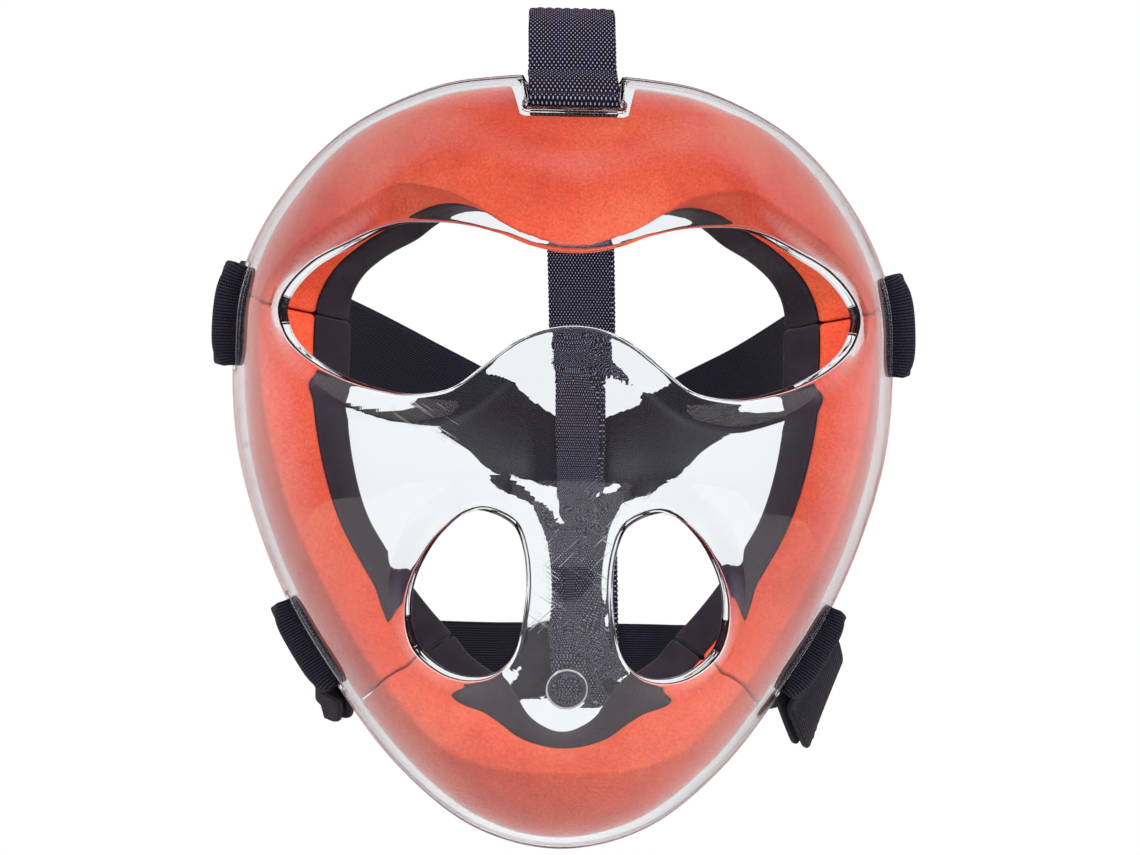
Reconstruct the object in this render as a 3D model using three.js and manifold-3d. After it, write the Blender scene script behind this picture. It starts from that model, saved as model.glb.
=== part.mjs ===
// A field hockey face mask. A clear polycarbonate shell covers the face from the forehead to the chin, with
// one wide opening for the eyes and two for the mouth. Four pads line its rim, each a sheet of orange foam
// glued to the shell and a softer black liner on the face side. Four elastic straps and one of webbing hold
// it to the head. Each passes through a slot in the shell, folds back over the bar beside it and ends in a
// tab, which peels open and grips the strap with a hook patch. At the back all five are sewn together.
//
// Millimetres. +X is the wearer's left, +Y points from the face to the back of the head and +Z is up.
// The origin is on the middle plane, at eye height, level with the rearmost part of the shell's rim.

import * as THREE from "three";
import { mergeVertices } from "three/addons/utils/BufferGeometryUtils.js";
import Module from "manifold-3d";

const wasm = await Module();
wasm.setup();

// Shell sizes
const shellWidth = 196;
const shellHeight = 218;
const eyeLineDrop = 67; // from the top of the rim down to the eye line
const sideDepth = 88; // from the front of the shell back to its rim at the temples
const topDepth = 45;
const chinDepth = 50;
const shellWall = 3;
const rimTurn = THREE.MathUtils.degToRad(80); // how far the shell turns from its front to its rim
const fullness = 2.4; // 2 makes its sections elliptic, more makes them flatter in front, squarer at the sides
const rimEase = 3; // how closely the rim keeps to its side depth before it rises to the top and the chin
// The rim from the front, top to bottom: shares of the half width and of the half height
const rimShares = [
  [0, 1],
  [0.21, 0.995],
  [0.396, 0.971],
  [0.666, 0.861],
  [0.873, 0.669],
  [0.981, 0.465],
  [1, 0.25],
  [0.983, 0.03],
  [0.919, -0.185],
  [0.815, -0.398],
  [0.662, -0.606],
  [0.47, -0.806],
  [0.245, -0.951],
  [0, -1],
];

// Eye opening, measured from the middle and from the eye line
const eyeHalfWidth = 78;
const eyeRise = 23;
const eyeDrop = 24;
const eyeUpperShares = [
  [0, 0.57],
  [0.137, 0.68],
  [0.25, 0.86],
  [0.366, 0.965],
  [0.482, 1],
  [0.61, 0.96],
  [0.76, 0.74],
  [0.905, 0.47],
  [1, 0.03],
];
const eyeLowerShares = [
  [0.976, -0.32],
  [0.905, -0.57],
  [0.76, -0.84],
  [0.61, -0.98],
  [0.535, -1],
  [0.403, -0.93],
  [0.302, -0.7],
  [0.202, -0.46],
  [0.105, -0.33],
  [0, -0.29],
];

// Mouth openings: the column between them, and how far below the eye line they start and end
const mouthInner = 11;
const mouthOuter = 42;
const mouthTopDrop = 54;
const mouthBottomDrop = 98.5;
const mouthShares = [
  [0.36, 0],
  [0.56, 0.035],
  [0.74, 0.14],
  [0.87, 0.275],
  [0.965, 0.43],
  [1, 0.58],
  [0.98, 0.735],
  [0.9, 0.86],
  [0.66, 0.975],
  [0.42, 1],
  [0.22, 0.955],
  [0.08, 0.83],
  [0.015, 0.6],
  [0, 0.4],
  [0.03, 0.22],
  [0.11, 0.08],
];

// Nose ridge and the column below it: stations down the middle
const bridgeDrop = 12;
const tipDrop = 46;
const lipDrop = 62;
const columnDrop = 84;
const bossDrop = 101;
const ridgeEndDrop = 122;
const bridgeHeight = 10;
const tipHeight = 15;
const lipHeight = 7;
const columnHeight = 6;
const bossHeight = 3.5;
const bridgeReach = 20; // how far from the middle the ridge has fallen to about a third
const noseReach = 24;
const columnReach = 16;
const bossReach = 26;

// Brow: a bulge over the eye opening that comes to a point in the middle
const browBulge = 6;
const browPoint = 5;
const browPointHalfWidth = 18;
const browEdgeShare = 0.5; // how much of the bulge there is at the opening's edge
const browCrest = 10; // from the edge of the opening up to the crest
const browFade = 26;
const browReach = 72;

// Lips round the openings, which turn forwards
const eyeLip = 2.2;
const mouthLip = 2.4;
const lipWidth = 13;

// Pads
const foamThickness = 13;
const linerThickness = 9;
const padMargin = 4; // clear shell left showing outside the foam
const padChinMargin = 0.8; // the same under the chin, where the foam comes out almost to the rim
const seamGap = 0.6;
const glueGap = 0.3;
const templeSeam = THREE.MathUtils.degToRad(26.5);
const jawSeam = THREE.MathUtils.degToRad(-50);
// The pads' inner edge next to the shell, top to bottom, in shares of the half width and half height
const padFrontShares = [
  [0, 0.537],
  [0.143, 0.569],
  [0.255, 0.624],
  [0.367, 0.67],
  [0.5, 0.688],
  [0.602, 0.633],
  [0.673, 0.592],
  [0.786, 0.509],
  [0.857, 0.413],
  [0.878, 0.312],
  [0.857, 0.156],
  [0.816, 0],
  [0.765, -0.138],
  [0.673, -0.303],
  [0.561, -0.477],
  [0.459, -0.596],
  [0.337, -0.703],
  [0.205, -0.745],
  [0.1, -0.753],
  [0, -0.753],
];
// and next to the face
const padBackShares = [
  [0, 0.56],
  [0.143, 0.592],
  [0.245, 0.633],
  [0.337, 0.628],
  [0.414, 0.583],
  [0.474, 0.538],
  [0.565, 0.489],
  [0.628, 0.436],
  [0.661, 0.365],
  [0.661, 0.248],
  [0.646, 0.147],
  [0.632, 0.055],
  [0.607, -0.046],
  [0.563, -0.156],
  [0.507, -0.229],
  [0.427, -0.335],
  [0.37, -0.407],
  [0.334, -0.457],
  [0.211, -0.547],
  [0.138, -0.628],
  [0.094, -0.656],
  [0.037, -0.676],
  [0, -0.679],
];

// Harness
const bandWidth = 30;
const bandThickness = 2;
const webbingWidth = 25;
const webbingThickness = 1.8;
const hookThickness = 1;
const layGap = 0.3; // between layers that lie on each other
const slotEndClearance = 1.2;
const slotWidth = 5.5;
const topSlotWidth = 3.5;
const sideBarWidth = 7;
const barClearance = 0.45; // between a bar and the strap folded round it
const slotCorner = 1.5;
const templeSlotAngle = THREE.MathUtils.degToRad(23);
const jawSlotAngle = THREE.MathUtils.degToRad(-36.5);
const topBarWidth = 18;
const topBarInset = 1.5; // from the rim to the top bar
const topBarDrop = 2; // how far the top bar is sunk below the shell's face
const topBarRoot = 1.2; // how far the top bar runs into the shell beside the notch
const padSideInset = 14; // from the rim to the pads behind a side slot
const padTopInset = 24.5;
const padSideFade = 4; // along the rim, from the end of a slot to where the pads are back at their margin
const padTopFade = 1.2;
const sideSlack = 3; // how loosely a side strap goes round its bar
const sideBulge = 1.8; // how far it stands off the bar's inner edge
const topSlack = 0.4;
const foldOverrun = 2.5; // from the bar's edge to the line where a strap's end peels
const templeTabLength = 42;
const jawTabLength = 46;
const crownTabLength = 52;
const tabSettle = 12; // from the peel line to where a tab lies on the strap under it
const hookLength = 24;
const hookInset = 2; // from a tab's edges and tip to its hook patch

// Harness path behind the rim, with the mask worn
const harnessReach = 192; // from the rim to the crown strap at the back of the head
const crownRise = 95; // from the eye line to the crown strap's top
const rearLean = 16; // how far the crown strap's lower end has slipped to the wearer's left
// Shares of the half width, of the reach and of the half height
const templeShares = [
  [0.99, 0.24, 0.03],
  [0.93, 0.44, 0.02],
  [0.78, 0.68, -0.045],
  [0.58, 0.87, -0.15],
  [0.36, 0.965, -0.26],
];
const jawShares = [
  [0.79, 0.4, -0.98],
  [0.68, 0.7, -1.05],
  [0.53, 0.87, -1.08],
  [0.34, 0.965, -1.095],
];
// Where each jaw strap comes from behind the rim: the left one hangs further out and lower
const leftJawStartShares = [0.79, 0.078, -1.035];
const rightJawStartShares = [0.69, 0.0625, -0.975];
const slotHoldShare = 0.75; // how closely a strap still lies along its slot at the first of these places
const templeJoinShare = -0.45;
const templeClimbShare = 0.1; // how far the temple straps rise from their ends to the crown strap's edge
const jawJoinShare = -1.1;
const jawClimbShare = 0;
// Shares of the lean, of the reach and of the crown's rise
const crownShares = [
  [0, -0.12, 0.86],
  [0.05, 0.06, 0.945],
  [0.1, 0.26, 1],
  [0.3, 0.64, 0.88],
  [0.6, 0.9, 0.5],
  [0.73, 0.985, 0.13],
];
// and down the back: shares of the lean and of the drop from the eye line to the strap's lower end
const crownBackShares = [
  [0.77, 0.09],
  [0.8, 0.22],
  [0.84, 0.4],
  [0.93, 0.735],
  [1, 1],
];
const crownTail = 2.5; // from the jaw straps' lower edge down to the crown strap's end
const sewnGap = 0.5;

// Fineness, in steps along each curve or surface
const outlineSteps = 360;
const eyeSteps = 120;
const mouthSteps = 48;
const shellSteps = 36;
const slotCornerSteps = 3;
const slotSideSteps = 6;
const topBarRows = 8;
const topBarColumns = 3;
const meridianSteps = 400;
const ridgeSteps = 120;
const halvings = 24;
const browSteps = 40;
const cheekSteps = 24;
const chinSteps = 24;
const padAcrossSteps = 4;
const bandSteps = 4;
const barSteps = 3;
const foldSteps = 6;
const crownSteps = 60;
const sideStrapSteps = 34;
const tabSteps = 14;
const laySteps = 5;
const meshStep = 1e-3;
const cutOverrun = 5; // how far a cutting body goes past what it cuts

const halfWidth = shellWidth / 2;
const halfHeight = shellHeight / 2;
const midZ = eyeLineDrop - halfHeight;
const frontY = -sideDepth;
const crownDrop = -jawJoinShare * halfHeight + bandWidth / 2 + crownTail;

const colours = {
  polycarbonate: 0xdfe6ee,
  foam: 0xe8503c,
  liner: 0x2b2528,
  elastic: 0x1b1b24,
  webbing: 0x22222c,
  hook: 0x17161b,
};

function material(colour, roughness, extra = {}) {
  return new THREE.MeshStandardMaterial({ color: colour, roughness, metalness: 0, ...extra });
}

const materials = {
  shell: material(colours.polycarbonate, 0.08, { transparent: true, opacity: 0.35 }),
  foam: material(colours.foam, 0.95),
  liner: material(colours.liner, 0.95),
  elastic: material(colours.elastic, 0.85),
  webbing: material(colours.webbing, 0.7),
  hook: material(colours.hook, 0.8),
};

// A smooth closed loop through front-view points [x, z].
function closedLoop(points, samples) {
  const corners = points.map(([x, z]) => new THREE.Vector3(x, 0, z));
  return new THREE.CatmullRomCurve3(corners, true, "centripetal").getPoints(samples).slice(0, -1);
}

// The points of one side, from the top down, and their mirror images back up again.
function mirrored(points) {
  const back = points.filter(([x]) => x > 0).map(([x, z]) => [-x, z]);
  return [...points, ...back.reverse()];
}

// Distance of a loop from the shell's centre as a function of the angle, anticlockwise from +X.
function polarRadius(loop) {
  const rays = loop
    .map(({ x, z }) => ({ angle: Math.atan2(z - midZ, x), reach: Math.hypot(x, z - midZ) }))
    .sort((a, b) => a.angle - b.angle);
  const turn = 2 * Math.PI;
  const first = rays[0];
  const last = rays[rays.length - 1];
  const ring = [{ ...last, angle: last.angle - turn }, ...rays, { ...first, angle: first.angle + turn }];
  return (angle) => {
    const wrapped = Math.atan2(Math.sin(angle), Math.cos(angle));
    let low = 0;
    let high = ring.length - 1;
    while (high - low > 1) {
      const middle = (low + high) >> 1;
      if (ring[middle].angle <= wrapped) low = middle;
      else high = middle;
    }
    const share = (wrapped - ring[low].angle) / (ring[high].angle - ring[low].angle);
    return THREE.MathUtils.lerp(ring[low].reach, ring[high].reach, share);
  };
}

// A function of the angle for a loop given by one side's shares of the half width and half height.
function reachOf(shares) {
  const side = shares.map(([a, b]) => [a * halfWidth, midZ + b * halfHeight]);
  return polarRadius(closedLoop(mirrored(side), outlineSteps));
}

const rimRadius = reachOf(rimShares);

// How far behind the front the rim lies: most at the temples, least at the top.
function rimFall(angle) {
  const lift = Math.abs(Math.sin(angle)) ** rimEase;
  return THREE.MathUtils.lerp(sideDepth, Math.sin(angle) > 0 ? topDepth : chinDepth, lift);
}

// The smooth dome under the shell's relief. share runs from 0 at the front to 1 at the rim, along a meridian.
function domePoint(share, angle) {
  const turn = share * rimTurn;
  const power = 2 / fullness;
  const reach = rimRadius(angle) * (Math.sin(turn) / Math.sin(rimTurn)) ** power;
  const fall = (rimFall(angle) * (1 - Math.cos(turn) ** power)) / (1 - Math.cos(rimTurn) ** power);
  return new THREE.Vector3(reach * Math.cos(angle), frontY + fall, midZ + reach * Math.sin(angle));
}

// Flat pattern: a disc whose radius is halfHeight, that the dome is bent from.
function domeAt(u, v) {
  return domePoint(Math.hypot(u, v) / halfHeight, Math.atan2(v, u));
}

function flatPoint(share, angle) {
  return new THREE.Vector2(Math.cos(angle), Math.sin(angle)).multiplyScalar(share * halfHeight);
}

// The flat pattern's point for a place seen from the front.
function flatFromFront({ x, z }) {
  const angle = Math.atan2(z - midZ, x);
  const reach = Math.hypot(x, z - midZ) / rimRadius(angle);
  return flatPoint(Math.asin(Math.min(1, reach ** (fullness / 2) * Math.sin(rimTurn))) / rimTurn, angle);
}

// Outward unit normal of a surface given over the flat pattern.
function normalOf(surface, u, v) {
  const step = halfHeight * meshStep;
  const alongU = surface(u + step, v).sub(surface(u - step, v));
  const alongV = surface(u, v + step).sub(surface(u, v - step));
  return alongU.cross(alongV).normalize();
}

// A point at a depth under the dome's face, along the dome's normal.
function underDome(share, angle, depth) {
  const { x: u, y: v } = flatPoint(share, angle);
  return domeAt(u, v).addScaledVector(normalOf(domeAt, u, v), -depth);
}

// Openings as seen from the front
const eyeUpper = eyeUpperShares.map(([a, b]) => [a * eyeHalfWidth, b * eyeRise]);
const eyeLower = eyeLowerShares.map(([a, b]) => [a * eyeHalfWidth, b * eyeDrop]);
const eyeLoop = closedLoop(mirrored([...eyeUpper, ...eyeLower]), eyeSteps);
const mouthPoints = mouthShares.map(([a, b]) => [
  THREE.MathUtils.lerp(mouthInner, mouthOuter, a),
  -THREE.MathUtils.lerp(mouthTopDrop, mouthBottomDrop, b),
]);
const mouthLoop = closedLoop(mouthPoints, mouthSteps);
const mouthLoopOther = mouthLoop.map(({ x, z }) => new THREE.Vector3(-x, 0, z)).reverse();

function distanceTo(loop, x, z) {
  let least = Infinity;
  loop.forEach((start, i) => {
    const end = loop[(i + 1) % loop.length];
    const [dx, dz] = [end.x - start.x, end.z - start.z];
    const share = ((x - start.x) * dx + (z - start.z) * dz) / (dx * dx + dz * dz);
    const near = THREE.MathUtils.clamp(share, 0, 1);
    least = Math.min(least, Math.hypot(start.x + near * dx - x, start.z + near * dz - z));
  });
  return least;
}

function smooth(x, from, to) {
  return THREE.MathUtils.smoothstep(x, from, to);
}

// Nose ridge: stations from the bridge to below the boss (drop, height, reach), joined by a smooth curve
const ridgeStations = [
  [0, bridgeHeight, bridgeReach],
  [bridgeDrop, bridgeHeight, bridgeReach],
  [tipDrop, tipHeight, noseReach],
  [lipDrop, lipHeight, columnReach],
  [columnDrop, columnHeight, columnReach],
  [bossDrop, bossHeight, bossReach],
  [ridgeEndDrop, 0, bossReach],
];
const ridgeCorners = ridgeStations.map((station) => new THREE.Vector3(...station));
const ridgeLine = new THREE.CatmullRomCurve3(ridgeCorners, false, "centripetal").getPoints(ridgeSteps);

function ridgeRelief(x, z) {
  const drop = -z;
  if (drop < 0 || drop > ridgeEndDrop) return 0;
  const next = Math.max(1, ridgeLine.findIndex((station) => station.x >= drop));
  const above = ridgeLine[next - 1];
  const below = ridgeLine[next];
  const share = (drop - above.x) / (below.x - above.x);
  const height = THREE.MathUtils.lerp(above.y, below.y, share);
  const reach = THREE.MathUtils.lerp(above.z, below.z, share);
  return height * Math.exp(-((x / reach) ** 2));
}

// Height of the eye opening's upper edge over x.
function browEdge(x) {
  const away = Math.abs(x);
  const next = eyeUpper.findIndex(([ex]) => ex >= away);
  if (next < 1) return next === 0 ? eyeUpper[0][1] : 0;
  const [x0, z0] = eyeUpper[next - 1];
  const [x1, z1] = eyeUpper[next];
  return THREE.MathUtils.lerp(z0, z1, (away - x0) / (x1 - x0));
}

function browRelief(x, z) {
  if (z < 0) return 0;
  const above = Math.max(0, z - browEdge(x));
  const climb = Math.sin((Math.PI / 2) * Math.min(1, above / browCrest));
  const rise = THREE.MathUtils.lerp(browEdgeShare, 1, climb);
  const fade = 1 - smooth(above, browCrest, browCrest + browFade);
  const along = browBulge * (1 - smooth(Math.abs(x), browReach / 2, browReach));
  const point = browPoint * Math.exp(-((x / browPointHalfWidth) ** 2));
  return (along + point) * rise * fade;
}

function lipRelief(loop, height, x, z) {
  const away = distanceTo(loop, x, z) / lipWidth;
  return away < 1 ? height * (1 - away) ** 2 : 0;
}

function relief(x, z) {
  const mouthSide = x > 0 ? mouthLoop : mouthLoopOther;
  const lips = Math.max(lipRelief(eyeLoop, eyeLip, x, z), lipRelief(mouthSide, mouthLip, x, z));
  return ridgeRelief(x, z) + browRelief(x, z) + lips;
}

// The shell's outer face over the flat pattern.
function shellFace(u, v) {
  const point = domeAt(u, v);
  return point.addScaledVector(normalOf(domeAt, u, v), relief(point.x, point.z));
}

function solidFrom(geometry) {
  const bare = geometry.index ? geometry.toNonIndexed() : geometry.clone();
  bare.deleteAttribute("normal");
  bare.deleteAttribute("uv");
  const merged = mergeVertices(bare, meshStep);
  return new wasm.Manifold(
    new wasm.Mesh({
      numProp: 3,
      vertProperties: merged.attributes.position.array,
      triVerts: new Uint32Array(merged.index.array),
    }),
  );
}

function indexedGeometry(positions, triangles) {
  const geometry = new THREE.BufferGeometry();
  geometry.setAttribute("position", new THREE.Float32BufferAttribute(positions, 3));
  geometry.setIndex(triangles);
  geometry.computeVertexNormals();
  return geometry;
}

// The flat pattern is cut slightly domed, so that no two facets lie in one plane and none are merged.
function doming(u, v) {
  return cutOverrun * (1 - (u * u + v * v) / halfHeight ** 2);
}

// A closed solid between two grids of points, rows by columns.
function slabBetween(face, back) {
  const rows = face.length;
  const columns = face[0].length;
  const positions = [...face.flat(), ...back.flat()].flatMap((point) => point.toArray());
  const triangles = [];
  const at = (side, row, column) => (side * rows + row) * columns + column;
  const quad = (a, b, c, d) => triangles.push(a, b, c, a, c, d);
  const foot = rows - 1;
  const end = columns - 1;
  for (let row = 0; row < foot; row++) {
    for (let column = 0; column < end; column++) {
      quad(at(0, row, column), at(0, row + 1, column), at(0, row + 1, column + 1), at(0, row, column + 1));
      quad(at(1, row, column), at(1, row, column + 1), at(1, row + 1, column + 1), at(1, row + 1, column));
    }
    quad(at(0, row, 0), at(1, row, 0), at(1, row + 1, 0), at(0, row + 1, 0));
    quad(at(0, row, end), at(0, row + 1, end), at(1, row + 1, end), at(1, row, end));
  }
  for (let column = 0; column < end; column++) {
    quad(at(0, 0, column), at(0, 0, column + 1), at(1, 0, column + 1), at(1, 0, column));
    quad(at(0, foot, column), at(1, foot, column), at(1, foot, column + 1), at(0, foot, column + 1));
  }
  const geometry = indexedGeometry(positions, triangles);
  return solidFrom(geometry).volume() > 0 ? geometry : slabBetween(back, face);
}

// A slab of the flat pattern over a grid of its points, between two heights.
function flatSlab(grid, bottom, top) {
  const raise = (height) =>
    grid.map((row) => row.map(({ x, y }) => new THREE.Vector3(x, y, height + doming(x, y))));
  return solidFrom(slabBetween(raise(top), raise(bottom)));
}

// A square grid of the flat pattern, with a line of points down the middle for the nose's ridge.
function squareGrid(half, steps) {
  const places = Array.from({ length: steps + 1 }, (_, i) => half * ((2 * i) / steps - 1));
  return places.map((v) => places.map((u) => new THREE.Vector2(u, v)));
}

// A prism over an outline of the flat pattern, between two heights.
function flatPrism(outline, bottom, top) {
  const shape = new THREE.Shape(outline);
  const prism = new THREE.ExtrudeGeometry(shape, { depth: top - bottom, bevelEnabled: false });
  return solidFrom(prism.translate(0, 0, bottom));
}

// The meridian share that lies a length in from the rim, measured along the dome.
function shareFromRim(angle, length) {
  let travelled = 0;
  let last = domePoint(1, angle);
  for (let step = 1; step < meridianSteps; step++) {
    const share = 1 - step / meridianSteps;
    const next = domePoint(share, angle);
    const hop = next.distanceTo(last);
    if (travelled + hop >= length) return share + (travelled + hop - length) / hop / meridianSteps;
    travelled += hop;
    last = next;
  }
  return 0;
}

// A place on the dome a length in from the rim, with the directions out of the face and towards the rim.
function rimFrame(angle, length) {
  const share = shareFromRim(angle, length);
  const { x: u, y: v } = flatPoint(share, angle);
  const point = domeAt(u, v);
  const outward = normalOf(domeAt, u, v);
  const rimward = domePoint(share + meshStep, angle).sub(domePoint(share - meshStep, angle)).normalize();
  return { point, outward, rimward };
}

// The angle reached by going a length along the rim from a slot's middle, at a distance in from the rim.
function angleAlong(angle, length, fromRim) {
  const share = shareFromRim(angle, fromRim);
  const hop = domePoint(share, angle + meshStep).distanceTo(domePoint(share, angle - meshStep));
  return angle + (length * 2 * meshStep) / hop;
}

// Flat pattern outline of a rectangle that lies along the rim, with rounded corners.
function rimRectangle(angle, length, near, far, corner) {
  const turns = [
    [length / 2 - corner, far - corner],
    [corner - length / 2, far - corner],
    [corner - length / 2, near + corner],
    [length / 2 - corner, near + corner],
  ];
  const places = turns.flatMap(([along, fromRim], quarter) => {
    const arc = Array.from({ length: slotCornerSteps + 1 }, (_, step) => {
      const turn = (Math.PI / 2) * (quarter + step / slotCornerSteps);
      return new THREE.Vector2(along + corner * Math.cos(turn), fromRim + corner * Math.sin(turn));
    });
    const next = turns[(quarter + 1) % turns.length];
    if (next[1] !== fromRim) return arc;
    const end = new THREE.Vector2(next[0], arc.at(-1).y);
    const shares = Array.from({ length: slotSideSteps }, (_, step) => (step + 1) / (slotSideSteps + 1));
    return [...arc, ...shares.map((share) => arc.at(-1).clone().lerp(end, share))];
  });
  return places.map(({ x: along, y: fromRim }) => {
    const inside = Math.max(fromRim, 0);
    const there = angleAlong(angle, along, inside);
    return flatPoint(fromRim < 0 ? 1 - fromRim / halfHeight : shareFromRim(there, fromRim), there);
  });
}

// Flat pattern grid of a rectangle that lies along the rim.
function rimGrid(angle, length, near, far, rows, columns) {
  return Array.from({ length: rows + 1 }, (_, i) => {
    const side = length * (i / rows - 1 / 2);
    return Array.from({ length: columns + 1 }, (__, j) => {
      const fromRim = THREE.MathUtils.lerp(near, far, j / columns);
      const there = angleAlong(angle, side, fromRim);
      return flatPoint(shareFromRim(there, fromRim), there);
    });
  });
}

const sideSlotLength = bandWidth + 2 * slotEndClearance;
const topSlotLength = webbingWidth + 2 * slotEndClearance;
const topNotchDepth = topBarInset + topBarWidth + topSlotWidth;
const sideSlotAngles = [templeSlotAngle, jawSlotAngle, Math.PI - templeSlotAngle, Math.PI - jawSlotAngle];

function makeShell() {
  const above = 2 * cutOverrun;
  const below = -(topBarDrop + shellWall + cutOverrun);
  const turns = Array.from({ length: outlineSteps }, (_, i) => (2 * Math.PI * i) / outlineSteps);
  const round = turns.map((turn) => flatPoint(1, turn));
  let solid = flatSlab(squareGrid(halfHeight + cutOverrun, shellSteps), -shellWall, 0);
  solid = solid.intersect(flatPrism(round, below, above));
  for (const loop of [eyeLoop, mouthLoop, mouthLoopOther])
    solid = solid.subtract(flatPrism(loop.map(flatFromFront), below, above));
  for (const angle of sideSlotAngles) {
    const outline = rimRectangle(angle, sideSlotLength, sideBarWidth, sideBarWidth + slotWidth, slotCorner);
    solid = solid.subtract(flatPrism(outline, below, above));
  }
  const notch = rimRectangle(Math.PI / 2, topSlotLength, -cutOverrun, topNotchDepth, slotCorner);
  solid = solid.subtract(flatPrism(notch, below, above));
  const barLength = topSlotLength + 2 * topBarRoot;
  const barFoot = topBarInset + topBarWidth;
  const bar = rimGrid(Math.PI / 2, barLength, topBarInset, barFoot, topBarRows, topBarColumns);
  solid = solid.add(flatSlab(bar, -topBarDrop - shellWall, -topBarDrop));
  const { vertProperties, triVerts } = solid.getMesh();
  const positions = [];
  for (let i = 0; i < vertProperties.length; i += 3) {
    const [u, v, w] = vertProperties.slice(i, i + 3);
    const depth = w - doming(u, v);
    positions.push(...shellFace(u, v).addScaledVector(normalOf(shellFace, u, v), depth));
  }
  return indexedGeometry(positions, [...triVerts]);
}

// Normals of a grid of points, from its neighbours.
function gridNormals(grid) {
  const clampTo = (list, i) => list[Math.min(list.length - 1, Math.max(0, i))];
  return grid.map((row, i) =>
    row.map((_, j) => {
      const alongRow = clampTo(row, j + 1).clone().sub(clampTo(row, j - 1));
      const alongColumn = clampTo(grid, i + 1)[j].clone().sub(clampTo(grid, i - 1)[j]);
      return alongColumn.cross(alongRow).normalize();
    }),
  );
}

function offsetGrid(grid, normals, distance) {
  return grid.map((row, i) => row.map((point, j) => point.clone().addScaledVector(normals[i][j], distance)));
}

function thickSheet(grid, thickness) {
  const normals = gridNormals(grid);
  return slabBetween(
    offsetGrid(grid, normals, thickness / 2),
    offsetGrid(grid, normals, -thickness / 2),
  );
}

// Pads
const padFrontReach = reachOf(padFrontShares);
const padBackReach = reachOf(padBackShares);

// The meridian share at which a point under the dome is seen a given distance from the shell's centre.
function shareSeenAt(angle, reach, depth) {
  let low = 0;
  let high = 1;
  for (let i = 0; i < halvings; i++) {
    const middle = (low + high) / 2;
    const { x, z } = underDome(middle, angle, depth);
    if (Math.hypot(x, z - midZ) < reach) low = middle;
    else high = middle;
  }
  return low;
}

// The pads' outer edge is cut back behind every slot.
const padRecesses = sideSlotAngles.map((angle) => ({
  angle,
  inset: padSideInset,
  half: sideSlotLength / 2,
  fade: padSideFade,
  perRadian: 1 / (angleAlong(angle, 1, sideBarWidth) - angle),
}));
padRecesses.push({
  angle: Math.PI / 2,
  inset: padTopInset,
  half: topSlotLength / 2 + topBarRoot,
  fade: padTopFade,
  perRadian: 1 / (angleAlong(Math.PI / 2, 1, topNotchDepth) - Math.PI / 2),
});

function padOuterMargin(angle) {
  const chin = smooth(-Math.sin(angle), 1 / 2, 1);
  const margin = THREE.MathUtils.lerp(padMargin, padChinMargin, chin);
  const cuts = padRecesses.map((recess) => {
    const turn = angle - recess.angle;
    const away = Math.abs(Math.atan2(Math.sin(turn), Math.cos(turn))) * recess.perRadian;
    return (recess.inset - margin) * (1 - smooth(away, recess.half, recess.half + recess.fade));
  });
  return margin + Math.max(...cuts);
}

// Even steps from one angle to another, with a step at each corner of a recess in place of those close to it.
function padAngles(from, to, steps) {
  const corners = padRecesses.flatMap(({ angle, half, fade, perRadian }) =>
    [-half - fade, -half, half, half + fade].map((along) => angle + along / perRadian),
  );
  const hop = (to - from) / steps;
  const inside = corners.filter((angle) => angle > from + hop / 2 && angle < to - hop / 2);
  const even = Array.from({ length: steps + 1 }, (_, i) => THREE.MathUtils.lerp(from, to, i / steps));
  const free = even.filter((angle) => inside.every((corner) => Math.abs(angle - corner) > hop / 2));
  return [...free, ...inside].sort((a, b) => a - b);
}

function padLayer(from, to, steps, depth, thickness) {
  const halfSeam = seamGap / 2 / halfWidth;
  const rowAt = (angle, layer) => {
    const sunk = (layer - foamDepth) / padThickness;
    const reach = THREE.MathUtils.lerp(padFrontReach(angle), padBackReach(angle), sunk);
    const inner = shareSeenAt(angle, reach, layer);
    const outer = shareFromRim(angle, padOuterMargin(angle));
    return Array.from({ length: padAcrossSteps + 1 }, (_, i) =>
      underDome(THREE.MathUtils.lerp(inner, outer, i / padAcrossSteps), angle, layer),
    );
  };
  const angles = padAngles(from + halfSeam, to - halfSeam, steps);
  return slabBetween(
    angles.map((angle) => rowAt(angle, depth)),
    angles.map((angle) => rowAt(angle, depth + thickness)),
  );
}

const foamDepth = shellWall + glueGap;
const linerDepth = foamDepth + foamThickness + glueGap;
const padThickness = foamThickness + glueGap + linerThickness;
const padSpans = {
  forehead: [templeSeam, Math.PI - templeSeam, browSteps],
  left_cheek: [jawSeam, templeSeam, cheekSteps],
  right_cheek: [Math.PI - templeSeam, Math.PI - jawSeam, cheekSteps],
  chin: [-Math.PI - jawSeam, jawSeam, chinSteps],
};

// Harness
const acrossShares = Array.from({ length: bandSteps + 1 }, (_, j) => j / bandSteps - 1 / 2);
const headMiddle = new THREE.Vector3(0, harnessReach / 2, 0);
const fasteningHeight = layGap + hookThickness + layGap; // between a strap's face and the tab over it

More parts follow.
